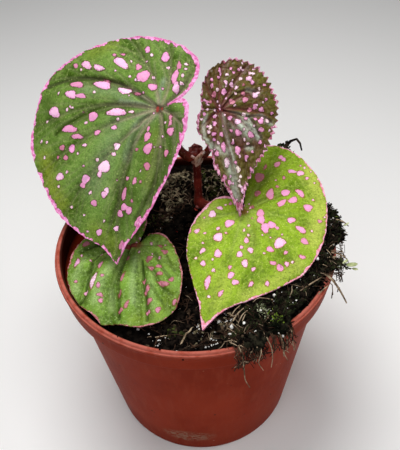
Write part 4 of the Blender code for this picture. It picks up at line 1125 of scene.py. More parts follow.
petioles = {  # height on the stem, thickness at both ends, and the arc
    "petiole_a": {
        "leaf": leafA, "height": 121.0, "radii": (2.1, 1.35), "rise": 0.9, "bow": 0.35, "hairs": 150,
    },
    "petiole_b": {
        "leaf": leafB, "height": 121.0, "radii": (1.6, 1.1), "rise": 1.2, "bow": 0.35, "hairs": 120,
    },
    "petiole_c": {
        "leaf": leafC, "height": 94.5, "radii": (2.0, 1.5), "rise": 0.7, "bow": 0.4, "hairs": 140,
    },
    "petiole_d": {
        "leaf": leafD, "height": 90.7, "radii": (1.9, 1.7), "rise": 0.0, "bow": 0.35, "hairs": 180,
    },
}


def stemAxis(height):
    foot, top = Vector(stalk["foot"]), Vector(stalk["top"])
    return foot.lerp(top, (height - foot.z) / (top.z - foot.z))


def paintStalk(name, deep, bright):
    material, tree, shader = newMaterial(name)
    where = places(tree)
    broad = cloud(tree, where, 5.0)
    fine = cloud(tree, where, 0.7, 4.0, 0.7)
    colour = blend(tree, between(tree, broad, 0.35, 0.68), deep, bright)
    freckles = between(tree, cells(tree, where, 1.3), 0.1, 0.24, 0.45, 0.0)
    colour = blend(tree, freckles, colour, srgb(176, 120, 104))
    colour = blend(tree, between(tree, fine, 0.55, 0.8, 0.0, 0.5), colour, deep)
    tree.links.new(colour, shader.inputs["Base Color"])
    tree.links.new(between(tree, fine, 0.3, 0.7, 0.3, 0.5), shader.inputs["Roughness"])
    shader.inputs["Specular IOR Level"].default_value = 0.3
    bump(tree, shader, fine, 0.4, 0.15)
    return material


def hairRoutes(route, radii, count, dice):
    made = []
    for i in range(count):
        at = dice.uniform(0.06, 0.97) * (len(route) - 1)
        low = int(at)
        spot = route[low].lerp(route[low + 1], at - low)
        radius = mix(radii[low], radii[low + 1], at - low)
        run = (route[low + 1] - route[low]).normalized()
        side = run.orthogonal().normalized()
        side.rotate(Matrix.Rotation(dice.uniform(0, 2 * math.pi), 3, run))
        tip = side * dice.uniform(*stalk["hairLength"]) + run * dice.uniform(-0.3, 0.3)
        foot = spot + side * radius * 0.92
        made.append([(foot, 0.07), (foot + tip * 0.6, 0.05), (foot + tip, 0.015)])
    return made


petioleRoutes = {}


def buildPetiole(name, stem, paint, hairPaint):
    fan = readLeaf(stem["leaf"])
    axis = stemAxis(stem["height"])
    away = fan["root"] - axis
    bearing = Vector((away.x, away.y, 0)).normalized()
    thick, thin = stem["radii"]
    start = axis + bearing * (stalk["radius"] * 0.4)
    leaving = (bearing + Vector((0, 0, stem["rise"]))).normalized()
    outside = axis + bearing * (stalk["radius"] + stalk["leaving"] + leaving.z * thick)
    end = fan["root"] - fan["normal"] * (bladeWall * 0.55)
    pull = (end - outside).length * stem["bow"]
    first, last = outside + leaving * pull, end - fan["normal"] * pull
    route = [start]
    count = 36
    for i in range(count):
        t = i / (count - 1)
        s = 1 - t
        route.append(outside * s**3 + first * 3 * s * s * t + last * 3 * s * t * t + end * t**3)
    petioleRoutes[name] = route
    radii = []
    for i in range(len(route)):
        t = i / (len(route) - 1)
        knot = 0.22 * math.exp(-((t / 0.07) ** 2)) + 0.18 * math.exp(-(((1 - t) / 0.05) ** 2))
        wave = 0.035 * noise.noise(Vector((t * 14, thick, 2.0)))
        radii.append(mix(thick, thin, t) * (1 + knot + wave))
    mesh = strands([list(zip(route, radii))], sides=4)
    dice = random.Random(name)
    makePiece(name + "_stalk", mesh, [paint], [name])
    hairs = strands(hairRoutes(route[2:-2], radii[2:-2], stem["hairs"], dice), sides=0)
    makePiece(name + "_hairs", hairs, [hairPaint], [])


def buildStem(paint, hairPaint, litStipulePaint, shadedBudPaint):
    route, radii = [], []
    count = 60
    for i in range(count):
        height = mix(stalk["foot"][2], stalk["top"][2], i / (count - 1))
        swell = sum(math.exp(-(((height - node) / 2.4) ** 2)) for node in stalk["nodes"])
        rings = sum(math.exp(-(((height - ring) / 0.5) ** 2)) for ring in stalk["rings"])
        wave = 0.05 * noise.noise(Vector((height * 0.35, 0.0, 5.0)))
        route.append(stemAxis(height))
        radii.append(stalk["radius"] * (1 + wave) + 0.45 * swell - 0.1 * rings)
    radii[-1] *= 0.45
    radii[-2] *= 0.8
    mesh = strands([list(zip(route, radii))], sides=5)
    makePiece("stem_stalk", mesh, [paint], ["stem"])
    dice = random.Random(5)
    hairs = strands(hairRoutes(route[20:-1], radii[20:-1], stalk["hairs"], dice), sides=0)
    makePiece("stem_hairs", hairs, [hairPaint], [])

    # thin scales that clasp the nodes, pointed and curled outwards: the outer ones pale, partly their own
    # colour and partly painted light, the bud's dark, partly painted shade
    scales = bmesh.new()
    for bearing, height, length, width, reach, kind in stalk["scales"]:
        angle = math.radians(bearing)
        out = Vector((math.cos(angle), math.sin(angle), 0))
        side = Vector((-math.sin(angle), math.cos(angle), 0))
        made = bmesh.ops.create_grid(scales, x_segments=8, y_segments=12, size=0.5)
        for vert in made["verts"]:
            s, t = vert.co.x * 2, vert.co.y + 0.5
            breadth = width / 2 * (1 - 0.35 * (1 - t) ** 2) * math.sqrt(max(0.0, 1.0 - t**5)) + 0.02
            hug = 1.9 + reach * t**1.6
            wrinkle = 0.3 * noise.noise(Vector((s * 1.8, t * 3, bearing)))
            vert.co = stemAxis(height) + out * (hug - (0.5 + 1.1 * t) * s * s + wrinkle)
            vert.co += side * s * breadth + Vector((0, 0, t * length * (1 - 0.12 * t)))
        for face in {face for vert in made["verts"] for face in vert.link_faces}:
            face.material_index = kind
    bmesh.ops.remove_doubles(scales, verts=scales.verts, dist=0.01)
    bmesh.ops.recalc_face_normals(scales, faces=scales.faces)
    piece = makePiece("stipules", scales, [litStipulePaint, shadedBudPaint], [])
    wall = piece.modifiers.new("thickness", "SOLIDIFY")
    wall.thickness = stalk["scaleWall"] * mm
    wall.offset = 0.0
    bakeModifiers(piece)


def paintStipule(name, dull, warm, pale):
    material, tree, shader = newMaterial(name)
    where = places(tree, (1, 1, 0.25))
    streaks = cloud(tree, where, 0.8, 4.0, 0.6)
    patches = cloud(tree, places(tree), 3.0)
    colour = blend(tree, between(tree, streaks, 0.4, 0.62), warm, dull)
    colour = blend(tree, between(tree, patches, 0.46, 0.6, 0.0, 0.9), colour, pale)
    tree.links.new(colour, shader.inputs["Base Color"])
    shader.inputs["Roughness"].default_value = 0.6
    bump(tree, shader, streaks, 0.5, 0.2)
    return material


def paintPlain(name, first, second, size, roughness, depth=0.2, gloss=0.1):
    material, tree, shader = newMaterial(name)
    where = places(tree)
    tone = cloud(tree, where, size, 4.0, 0.65)
    fine = cloud(tree, where, size / 5, 4.0, 0.7)
    colour = blend(tree, between(tree, tone, 0.38, 0.64), first, second)
    tree.links.new(colour, shader.inputs["Base Color"])
    setSockets(shader, {"Roughness": roughness, "Specular IOR Level": gloss})
    bump(tree, shader, fine, 0.6, depth)
    return material


darkStalk = paintStalk("dark_stalk", srgb(92, 24, 18), srgb(140, 50, 38))
redStalk = paintStalk("red_stalk", srgb(126, 24, 16), srgb(186, 58, 44))
hairPaint = paintPlain("stalk_hair", srgb(170, 110, 100), srgb(206, 160, 146), 1.0, 0.5)
# the pale skin is partly painted light, and the bud's dark skin partly painted shade
litStipulePaint = paintStipule("stipule_skin_lit", srgb(176, 96, 72), srgb(232, 186, 168), srgb(252, 232, 228))
shadedBudPaint = paintStipule("bud_skin_shaded", srgb(96, 30, 26), srgb(140, 56, 48), srgb(176, 100, 96))
buildStem(darkStalk, hairPaint, litStipulePaint, shadedBudPaint)
for name, stem in petioles.items():
    buildPetiole(name, stem, redStalk if name == "petiole_d" else darkStalk, hairPaint)
print("stem and petioles are built")


# Pot

pot = {
    "height": 100.0,
    "lip": 60.0,
    "collar": 11.2,
    "collarTaper": 1.4,
    "bodyTop": 55.0,
    "base": 42.5,
    "wall": 1.5,
    "floor": 2.8,
    "recess": 1.6,
    "pad": 12.0,
    "footRing": 4.0,
    "hole": 3.6,
    "holeCircle": 26.0,
    "holes": 8,
    "segments": 160,
    # corners of the outline as steps outwards and up from the base, the body's top, the collar and the lip
    "baseSteps": ((-0.9, 0.0), (-0.2, 0.25), (0.2, 0.8), (0.5, 1.6), (0.7, 2.6)),
    "bodySteps": ((0.0, -2.0), (0.12, -1.2), (0.5, -0.6)),
    "collarSteps": ((-1.0, -0.1), (-0.45, 0.05), (-0.1, 0.35), (0.0, 0.8), (0.2, 3.2), (0.42, 5.6)),
    "lipSteps": (
        (-0.8, -3.5), (-0.62, -3.1), (-0.28, -2.8), (-0.06, -2.3), (0.0, -1.8), (-0.06, -1.35),
        (-0.26, -1.0), (-0.62, -0.95), (-0.8, -0.75), (-0.95, -0.3), (-1.25, -0.05), (-1.6, 0.0),
        (-2.0, -0.08), (-2.4, -0.4), (-2.7, -0.8), (-2.9, -1.3),
    ),
}


def potProfile():
    base, body, lip, top, wall = (pot[key] for key in ("base", "bodyTop", "lip", "height", "wall"))
    pad, recess, floor = pot["pad"], pot["recess"], pot["floor"]
    footInner = base - pot["footRing"]
    collarFoot, collar = top - pot["collar"], lip - pot["collarTaper"]
    outline = [
        (0.0, 0.0), (pad - 0.4, 0.0), (pad, 0.3), (pad + 0.7, recess - 0.2), (pad + 1.2, recess),
        (footInner - 1.2, recess), (footInner - 0.8, recess - 0.3), (footInner - 0.2, 0.3),
        (footInner + 0.2, 0.0),
    ]
    outline += [(base + out, up) for out, up in pot["baseSteps"]]
    low, count = outline[-1], 24
    for i in range(1, count):
        outline.append((mix(low[0], body, i / count), mix(low[1], collarFoot - 2.0, i / count)))
    outline += [(body + out, collarFoot + up) for out, up in pot["bodySteps"]]
    outline += [(collar + out, collarFoot + up) for out, up in pot["collarSteps"]]
    outline += [(lip + out, top + up) for out, up in pot["lipSteps"]]
    outline += [
        (lip - wall - 1.3, top - 3.0), (collar - wall, collarFoot + 1.4),
        (collar - wall - 1.6, collarFoot - 0.4), (body - wall - 0.1, collarFoot - 1.8),
        (base - wall + 0.4, floor + 2.2), (base - 3.4, floor), (0.0, floor),
    ]
    return outline


def paintPot():
    material, tree, shader = newMaterial("pot_plastic")
    where = places(tree)
    broad = cloud(tree, where, 30.0)
    drawn = cloud(tree, places(tree, (1, 1, 0.16)), 2.6, 4.0, 0.6)
    fine = cloud(tree, where, 0.9, 5.0, 0.7)
    colour = blend(tree, between(tree, broad, 0.3, 0.7), srgb(130, 38, 14), srgb(150, 52, 28))
    colour = blend(tree, between(tree, drawn, 0.45, 0.75, 0.0, 0.3), colour, srgb(160, 74, 50))
    colour = blend(tree, between(tree, fine, 0.3, 0.5, 0.35, 0.0), colour, srgb(104, 26, 12))
    spread = tree.nodes.new("ShaderNodeSeparateXYZ")
    tree.links.new(where, spread.inputs["Vector"])
    # the top of the lip painted lighter in patches: a painted highlight
    lipHighlight = between(tree, spread.outputs["Z"], 97.8, 99.2, 0.0, 0.7)
    lipHighlightPatches = between(tree, cloud(tree, places(tree, (0.35, 0.35, 1.0)), 1.4, 4.0, 0.7), 0.34, 0.58, 0.35, 1.0)
    colour = blend(tree, times(tree, lipHighlight, lipHighlightPatches), colour, srgb(192, 112, 98))
    # the inside of the pot painted almost black: painted shade
    colour = blend(tree, times(tree, reading(tree, "inside"), 0.9), colour, srgb(22, 4, 3))

    # scuffs low on the front, where the pot has rubbed
    offset = tree.nodes.new("ShaderNodeVectorMath")
    offset.operation = "MULTIPLY_ADD"
    coordinates = tree.nodes.new("ShaderNodeTexCoord")
    tree.links.new(coordinates.outputs["Object"], offset.inputs[0])
    offset.inputs[1].default_value = (1 / 0.010, 1 / 0.02, 1 / 0.0045)
    offset.inputs[2].default_value = (0.77, 2.215, -3.22)
    reach = tree.nodes.new("ShaderNodeVectorMath")
    reach.operation = "LENGTH"
    tree.links.new(offset.outputs["Vector"], reach.inputs[0])
    nearFoot = between(tree, reach.outputs["Value"], 0.7, 1.5, 1.0, 0.0)
    rubbed = cloud(tree, places(tree, (0.6, 0.6, 1.0)), 1.6, 5.0, 0.75, 0.6)
    scuff = times(tree, nearFoot, between(tree, rubbed, 0.44, 0.56))
    colour = blend(tree, times(tree, scuff, 0.75), colour, srgb(152, 124, 104))

    # dust and flecks of soil over the whole wall
    flecks = between(tree, cells(tree, where, 5.5), 0.05, 0.1, 0.8, 0.0)
    chosen = between(tree, cloud(tree, where, 14.0, 2.0), 0.56, 0.62)
    colour = blend(tree, times(tree, flecks, chosen), colour, srgb(176, 120, 96))
    grime = between(tree, cells(tree, places(tree, shift=(3.0, 1.0, 2.0)), 6.5), 0.05, 0.11, 0.85, 0.0)
    grimy = between(tree, cloud(tree, places(tree, shift=(9, 4, 1)), 12.0, 2.0), 0.5, 0.6)
    colour = blend(tree, times(tree, grime, grimy), colour, srgb(44, 24, 16))
    tree.links.new(colour, shader.inputs["Base Color"])
    worn = maths(tree, "ADD", between(tree, fine, 0.3, 0.7, 0.4, 0.52), times(tree, scuff, 0.3))
    tree.links.new(worn, shader.inputs["Roughness"])
    shader.inputs["Specular IOR Level"].default_value = 0.02
    bump(tree, shader, maths(tree, "ADD", times(tree, drawn, 0.8), fine), 0.16, 0.12)
    return material


def buildPot():
    mesh = bmesh.new()
    profile = [mesh.verts.new((radius, 0.0, height)) for radius, height in potProfile()]
    edges = [mesh.edges.new(pair) for pair in zip(profile, profile[1:])]
    bmesh.ops.spin(
        mesh, geom=profile + edges, cent=(0, 0, 0), axis=(0, 0, 1), angle=2 * math.pi,
        steps=pot["segments"], use_merge=True,
    )
    bmesh.ops.remove_doubles(mesh, verts=mesh.verts, dist=0.01)
    bmesh.ops.recalc_face_normals(mesh, faces=mesh.faces)
    shell = makePiece("pot_shell", mesh, [paintPot()], ["pot"], 38)
    drill = bmesh.new()
    for i in range(pot["holes"]):
        angle = 2 * math.pi * (i + 0.5) / pot["holes"]
        spot = around(pot["holeCircle"], angle, pot["floor"] / 2)
        bmesh.ops.create_cone(
            drill, cap_ends=True, segments=32, radius1=pot["hole"], radius2=pot["hole"],
            depth=pot["floor"] * 4, matrix=Matrix.Translation(spot),
        )
    bmesh.ops.scale(drill, vec=(mm, mm, mm), verts=drill.verts)
    cutter = addObject("drill", asData("drill", drill))
    holes = shell.modifiers.new("holes", "BOOLEAN")
    holes.operation = "DIFFERENCE"
    holes.object = cutter
    holes.solver = "EXACT"
    bakeModifiers(shell, 38)
    bpy.data.objects.remove(cutter)
    # marks the inside of the pot, where the paint puts painted shade
    inside = shell.data.attributes.new("inside", "FLOAT", "POINT")
    slope = (pot["bodyTop"] - pot["base"]) / pot["height"]
    for i, vert in enumerate(shell.data.vertices):
        radius, height = math.hypot(vert.co.x, vert.co.y) / mm, vert.co.z / mm
        atCollar = height > pot["height"] - pot["collar"]
        reach = pot["lip"] - 2.2 if atCollar else pot["base"] + slope * height - 0.5
        inside.data[i].value = float(radius < reach and height > 0.5 * pot["floor"])


buildPot()
print("the pot is turned and drilled")


# Soil and moss mat

moss = {
    "from": math.radians(-80),
    "to": math.radians(62),
    "inner": 33.0,
    "reach": 8.4,
    "stations": (31.0, 35.0, 39.0, 43.0, 47.0, 50.5),  # radii where it lies on the soil
    "overLip": 0.6,  # its lift over the lip
    "spills": (  # bearing, width and share of the reach down the wall
        (-71.0, 6.0, 0.62), (-58.0, 4.5, 0.45), (5.0, 11.0, 1.0), (-20.0, 4.0, 0.35), (49.0, 6.0, 0.45),
    ),
    "columns": 190,
    "rows": 40,
    "skin": 0.7,  # thickness at its edges
    "body": 1.5,  # what is added further in, with the rise of tufts, broad swells and small lumps
    "lumps": (1.2, 0.9, 0.9),
    "tiltFrom": 58.0,
    "tiltTo": 61.2,
    "tilt": math.radians(78),
    "headroom": 1.1,  # least gap under the leaf
    "tangle": 55.5,  # radius past which the front has no shoots
    "frontTo": math.radians(-62),
}

soil = {
    "level": 86.0,
    "rise": 11.0,
    "riseFrom": 4.0,
    "riseTo": 50.0,
    "riseAngle": math.radians(-28),
    "backRise": 9.5,
    "backFrom": 34.0,
    "backTo": 52.6,
    "backAngle": math.radians(80),
    "radius": 52.6,
    "spread": 3.8,
    "spreadFrom": 90.0,
    "spreadTo": 93.0,
    "lumps": 1.1,
    "sides": 220,
    "rings": 74,
    "rims": ((52.6, 86.5), (52.7, 85.3), (41.0, 5.2), (38.8, 3.1)),  # of the body below, as radius, height
    "widest": 50.8,  # no crumb or thread starts past it
}

crumb = {
    "kinds": 9,
    "rough": 0.6,
    "uneven": (0.7, 1.3),
    "usual": 0.85,  # share that isn't bigger
    "bigger": 1.5,
    "lean": 0.7,
    "overMat": 2.6,  # lift where the mat lies
}

thread = {
    "steps": 7,
    "hop": (0.3, 2.2),
    "overMat": 2.4,
    "taper": 0.6,
}


def slopeAt(x, y, angle, start, end):
    return float(ease(start, end, x * math.cos(angle) + y * math.sin(angle)))


def ground(x, y):
    right = soil["rise"] * slopeAt(x, y, soil["riseAngle"], soil["riseFrom"], soil["riseTo"])
    back = soil["backRise"] * slopeAt(x, y, soil["backAngle"], soil["backFrom"], soil["backTo"])
    return soil["level"] + math.hypot(right, back)


def soilReach(angle):
    high = ground(soil["radius"] * math.cos(angle), soil["radius"] * math.sin(angle))
    return soil["radius"] + soil["spread"] * float(ease(soil["spreadFrom"], soil["spreadTo"], high))


def soilTop(x, y):
    broad = noise.noise(Vector((x / 17.0, y / 17.0, 8.4)))
    lump = noise.noise(Vector((x / 7.0, y / 7.0, 3.1)))
    small = noise.noise(Vector((x / 2.6, y / 2.6, 1.0)))
    tiny = noise.noise(Vector((x / 0.9, y / 0.9, 6.0)))
    return ground(x, y) + soil["lumps"] * (1 + 0.65 * lump + 0.6 * broad + 0.6 * small + 0.35 * tiny)


def buildSoilBed(paint):
    mesh = bmesh.new()
    bmesh.ops.create_grid(mesh, x_segments=soil["sides"], y_segments=soil["rings"], size=0.5)
    for vert in mesh.verts:
        angle = 2 * math.pi * (vert.co.x + 0.5)
        radius = soilReach(angle) * (0.5 - vert.co.y)
        x, y = radius * math.cos(angle), radius * math.sin(angle)
        vert.co = (x, y, soilTop(x, y))
    bmesh.ops.remove_doubles(mesh, verts=mesh.verts, dist=0.001)
    rim = [edge for edge in mesh.edges if edge.is_boundary]
    for radius, height in soil["rims"]:
        made = bmesh.ops.extrude_edge_only(mesh, edges=rim)["geom"]
        rim = [item for item in made if isinstance(item, bmesh.types.BMEdge)]
        for vert in [item for item in made if isinstance(item, bmesh.types.BMVert)]:
            flat = Vector((vert.co.x, vert.co.y)).normalized() * radius
            vert.co = (flat.x, flat.y, height)
    bmesh.ops.contextual_create(mesh, geom=rim)
    bmesh.ops.recalc_face_normals(mesh, faces=mesh.faces)
    makePiece("soil_bed", mesh, [paint], ["soil"], 180)


def crumbShapes(subdivisions=1):
    shapes = []
    for i in range(crumb["kinds"]):
        mesh = bmesh.new()
        bmesh.ops.create_icosphere(mesh, subdivisions=subdivisions, radius=1.0)
        for vert in mesh.verts:
            vert.co *= 1 + crumb["rough"] * noise.noise(vert.co * 1.5 + Vector((i * 7.1, 0, 0)))
        shapes.append(asData("crumb", mesh))
    return shapes


def inPatch(dice, patch):
    x, y, radius = patch
    angle, reach = dice.uniform(0, 2 * math.pi), radius * math.sqrt(dice.random())
    x, y = x + reach * math.cos(angle), y + reach * math.sin(angle)
    out = math.hypot(x, y)
    if out > soil["widest"]:
        x, y = x * soil["widest"] / out, y * soil["widest"] / out
    return x, y


def onMat(x, y):
    bearing = math.atan2(y, x)
    return moss["from"] < bearing < moss["to"] and math.hypot(x, y) > moss["inner"]


def scatterCrumbs(name, paint, patches, sizes, seed, flat=0.7, longer=1.0, subdivisions=1):
    dice = random.Random(seed)
    shapes = crumbShapes(subdivisions)
    bits = []
    for x, y, radius, count in patches:
        for i in range(count):
            spotX, spotY = inPatch(dice, (x, y, radius))
            size = dice.uniform(*sizes) * (1 if dice.random() < crumb["usual"] else crumb["bigger"])
            lift = crumb["overMat"] if onMat(spotX, spotY) else 0.2 * size
            place = Vector((spotX, spotY, soilTop(spotX, spotY) + lift))
            length = size * longer * dice.uniform(*crumb["uneven"])
            width = size * dice.uniform(*crumb["uneven"])
            turned = (dice.choice(shapes), place, randomTurn(dice, crumb["lean"]))
            bits.append((*turned, (length, width, size * flat)))
    layBits(name, paint, shapes, bits)


pile = {
    "from": 0.05,  # shares along the petiole
    "to": 0.74,
    "count": 420,
    "sizes": (0.6, 1.7),
    "spread": 1.5,
    "lift": (0.9, 2.6),
    "slope": 0.35,
}


def buildPile(name, paint, route, seed):
    # crumbs that lie over a stretch of a route and hide most of it
    dice = random.Random(seed)
    shapes = crumbShapes()
    bits = []
    for i in range(pile["count"]):
        t = dice.uniform(pile["from"], pile["to"]) * (len(route) - 1)
        spot = route[int(t)].lerp(route[int(t) + 1], t % 1)
        size = dice.uniform(*pile["sizes"])
        beside = Vector((dice.gauss(0, pile["spread"]), dice.gauss(0, pile["spread"]), 0))
        place = spot + beside + Vector((0, 0, dice.uniform(*pile["lift"]) - pile["slope"] * beside.length))
        place.z = max(place.z, soilTop(place.x, place.y))
        bits.append((dice.choice(shapes), place, randomTurn(dice), (size * 1.2, size * 0.8, size * 0.6)))
    layBits(name, paint, shapes, bits)


def wander(dice, start, heading, length, steps, radius, rise=0.0, bend=0.5):
    # a thread that wanders over a surface or through the air
    route = []
    spot = Vector(start)
    run = Vector(heading).normalized()
    for i in range(steps):
        t = i / (steps - 1)
        route.append((spot.copy(), radius * (1 - thread["taper"] * t * t)))
        aside, across, up = [dice.uniform(-bend, bend) for j in range(3)]
        run += Vector((aside, across, up * 0.4 + rise))
        run.normalize()
        spot += run * length / (steps - 1)
    return route


def buildSoilFibres(name, paint, patches, seed, lengths, thickness, placed=()):
    dice = random.Random(seed)
    routes = []
    for x, y, radius, count in patches:
        for i in range(count):
            spotX, spotY = inPatch(dice, (x, y, radius))
            heading = dice.uniform(0, 2 * math.pi)
            thick = dice.uniform(*thickness)
            start, run = (spotX, spotY, 0), (math.cos(heading), math.sin(heading), 0)
            route = wander(dice, start, run, dice.uniform(*lengths), thread["steps"], thick)
            hop = dice.uniform(*thread["hop"])
            laid = []
            for j, (spot, width) in enumerate(route):
                reach = math.hypot(spot.x, spot.y)
                if reach > soil["widest"]:
                    spot *= soil["widest"] / reach
                lift = thick + hop * math.sin(math.pi * j / (len(route) - 1)) ** 2
                if onMat(spot.x, spot.y):
                    lift += thread["overMat"]
                laid.append((Vector((spot.x, spot.y, soilTop(spot.x, spot.y) + lift)), width))
            routes.append(laid)
    for line, thick in placed:
        bent = smoothCurve(line, 4)
        routes.append([(Vector((x, y, soilTop(x, y) + lift)), thick) for x, y, lift in bent])
    makePiece(name, strands(routes, sides=1), [paint], [])


peat = paintPlain("peat", srgb(4, 3, 3), srgb(22, 18, 15), 2.2, 1.0, 0.5, 0.02)
peatCrumb = paintPlain("peat_crumb", srgb(5, 4, 4), srgb(34, 28, 23), 3.0, 1.0, 0.4, 0.02)
bark = paintPlain("bark", srgb(40, 30, 22), srgb(92, 76, 60), 4.0, 0.9, 0.4, 0.05)
litter = paintPlain("litter", srgb(74, 66, 48), srgb(172, 160, 130), 3.0, 0.95, 0.4, 0.05)
perlite = paintPlain("perlite", srgb(222, 218, 210), srgb(253, 252, 250), 3.0, 0.9, 0.3)
paleFibre = paintPlain("pale_fibre", srgb(96, 78, 60), srgb(184, 162, 134), 4.0, 0.85)
brownFibre = paintPlain("brown_fibre", srgb(30, 21, 16), srgb(78, 56, 42), 4.0, 0.9)
freshMoss = paintPlain("fresh_moss", srgb(30, 36, 14), srgb(70, 78, 34), 3.0, 0.9, 0.3)
soilBits = {
    # patches of x, y, radius, count
    "crumbs": ((0, 0, 50, 1050), (0, 38, 14, 150), (-4, -40, 14, 150), (-22, 6, 16, 150)),
    "litter": ((-8, 49, 7, 150), (-11, 42, 6, 70), (11, 47, 6, 50), (-12, 30, 5, 20), (6, -42, 9, 16)),
    "chips": ((0, 0, 49, 110), (-8, 30, 9, 34), (9, -42, 9, 60), (-22, 10, 12, 34), (-12, -40, 10, 14)),
    "grit": (
        (0, 0, 49, 90), (-8, 29, 8, 20), (6, -44, 10, 90), (-18, 6, 10, 16), (14, 44, 8, 12),
        (-14, -44, 8, 30),
    ),
    "perlite": (
        (-5.1, 29.2, 0, 1), (-15.9, -43.9, 0, 1), (8, -41, 0, 1), (12.8, -45.8, 0, 1), (-24.4, -36.9, 0, 1),
        (0, 0, 48, 8),
    ),
    "moss": (
        (-10.7, -39.3, 2.6, 60), (-7.4, -42.5, 2.4, 50), (9, 46, 7, 200), (13, 38, 5, 90), (-16, 26, 6, 50),
    ),
    "pale": (
        (0, 0, 46, 40), (4, 42, 10, 40), (-9, 47, 8, 34), (8, -40, 9, 16), (-20, 4, 12, 16), (16, 44, 8, 20),
    ),
    "brown": ((0, 0, 46, 150), (4, 34, 14, 60), (-12, 26, 10, 40), (0, -40, 16, 40), (-20, 4, 12, 40)),
}
palePlaced = (  # straws as points of x, y, lift over the soil, with a thickness
    (
        [(-7.4, -47.0, 0.3), (-6.4, -45.0, 1.0), (-5.0, -42.6, 1.3), (-3.4, -40.6, 1.1), (-2.3, -39.0, 0.4)],
        0.34,
    ),
    ([(-20.5, -41.0, 0.4), (-16.0, -41.6, 1.0), (-12.0, -40.8, 0.5)], 0.2),
    ([(3.4, 35.5, 0.6), (7.0, 33.0, 2.4), (9.5, 28.5, 0.6)], 0.26),
    ([(2.6, 40.0, 0.6), (6.6, 36.4, 2.0), (11.0, 35.0, 0.6)], 0.22),
)
buildSoilBed(peat)
scatterCrumbs("soil_crumbs", peatCrumb, soilBits["crumbs"], (0.45, 1.3), 11, subdivisions=2)
scatterCrumbs("soil_chips", bark, soilBits["chips"], (0.4, 0.95), 12, 0.4, 1.5)
scatterCrumbs("soil_litter", litter, soilBits["litter"], (0.4, 1.0), 19, 0.35, 1.8)
scatterCrumbs("soil_grit", perlite, soilBits["grit"], (0.16, 0.42), 13)
scatterCrumbs("soil_perlite", perlite, soilBits["perlite"], (0.7, 1.0), 14, 0.9, subdivisions=2)
scatterCrumbs("soil_moss", freshMoss, soilBits["moss"], (0.3, 0.7), 15, 1.0)
buildSoilFibres("soil_straw", paleFibre, soilBits["pale"], 16, (3, 9), (0.09, 0.18), palePlaced)
buildPile("petiole_debris", peatCrumb, petioleRoutes["petiole_d"], 18)
buildSoilFibres("soil_roots", brownFibre, soilBits["brown"], 17, (4, 15), (0.12, 0.3))
print("the soil is laid")


# Moss mat


def matEdge(angle):
    return float(ease(moss["from"], moss["from"] + 0.35, angle) * ease(0, 0.6, moss["to"] - angle))


def spill(angle):
    bearing = math.degrees(angle)
    shares = [tall * math.exp(-(((bearing - at) / wide) ** 2)) for at, wide, tall in moss["spills"]]
    return min(1.0, sum(shares))


def matPath(angle):
    route = []
    for radius in moss["stations"]:
        x, y = radius * math.cos(angle), radius * math.sin(angle)
        route.append((radius, ground(x, y) + 2 * soil["lumps"] + 0.3))
    clear = pot["height"] + moss["overLip"]
    route.append((54.4, mix(route[-1][1], clear, 0.6)))
    route.append((57.0, clear))
    route.append((60.0, clear))
    drops = (0.0, 2.8, 5.6, moss["reach"])
    route += [(pot["lip"] + 0.9, pot["height"] - 1.4 - drop) for drop in drops]
    return route


def matSurface(roof):
    # the mat's underside, its top, and its outward direction at any angle and share across it
    def at(angle, share):
        path = matPath(angle)
        steps = [math.dist(a, b) for a, b in zip(path, path[1:])]
        lengths = [sum(steps[:i]) for i in range(len(path))]
        ragged = noise.noise(Vector((angle * 6.0, 0.0, 2.7)))
        atLip = lengths[7]
        start = mix(atLip - 5.0, 1.5, matEdge(angle)) + 2.5 * ragged * matEdge(angle)
        stop = atLip - 0.6 + spill(angle) * (lengths[-1] - atLip) * (0.85 + 0.3 * ragged)
        stop = min(stop, lengths[-1])
        reach = mix(start, stop, share)
        radius = float(np.interp(reach, lengths, [corner[0] for corner in path]))
        height = float(np.interp(reach, lengths, [corner[1] for corner in path]))
        spot = around(radius, angle, height)
        body = float(ease(0, 7.0, reach - start) * ease(0, 3.0, stop - reach + 0.6))
        tilt = float(ease(moss["tiltFrom"], moss["tiltTo"], radius)) * moss["tilt"]
        out = Vector((spot.x, spot.y, 0)).normalized()
        outward = out * math.sin(tilt) + Vector((0, 0, math.cos(tilt)))
        tuft = noise.noise(spot / 5.5 + Vector((0, 0, 11)))
        broad = noise.noise(spot / 13.0 + Vector((5, 0, 0)))
        small = noise.noise(spot / 1.9 + Vector((2, 0, 4)))
        ofTuft, ofBroad, ofSmall = moss["lumps"]
        thick = moss["skin"] + body * (moss["body"] + ofTuft * tuft + ofBroad * broad + ofSmall * small)
        top = spot + outward * thick
        room = headroomOf(roof, top)
        if room is not None and room < moss["headroom"]:
            top.z -= moss["headroom"] - room
        return spot, top, outward, body

    return at


def headroomOf(roof, spot):
    # how far a spot lies under the leaf over the mat
    leaf, fan = roof
    offset = spot - fan["root"]
    u, v = offset.dot(fan["along"]), offset.dot(fan["across"])
    angle = math.atan2(v, u)
    while angle < fan["angles"][0]:
        angle += 2 * math.pi
    edge = edgeOf(fan, float(np.interp(angle, fan["angles"], fan["shares"])))
    if math.hypot(u, v) > np.linalg.norm(edge) + 2.5:
        return None
    toTip, toBase, toLeft, toRight = leaf["curl"]
    droop = (toTip if u > 0 else toBase) * u * u + (toRight if v > 0 else toLeft) * v * v
    return -droop - bladeWall - offset.dot(fan["normal"])


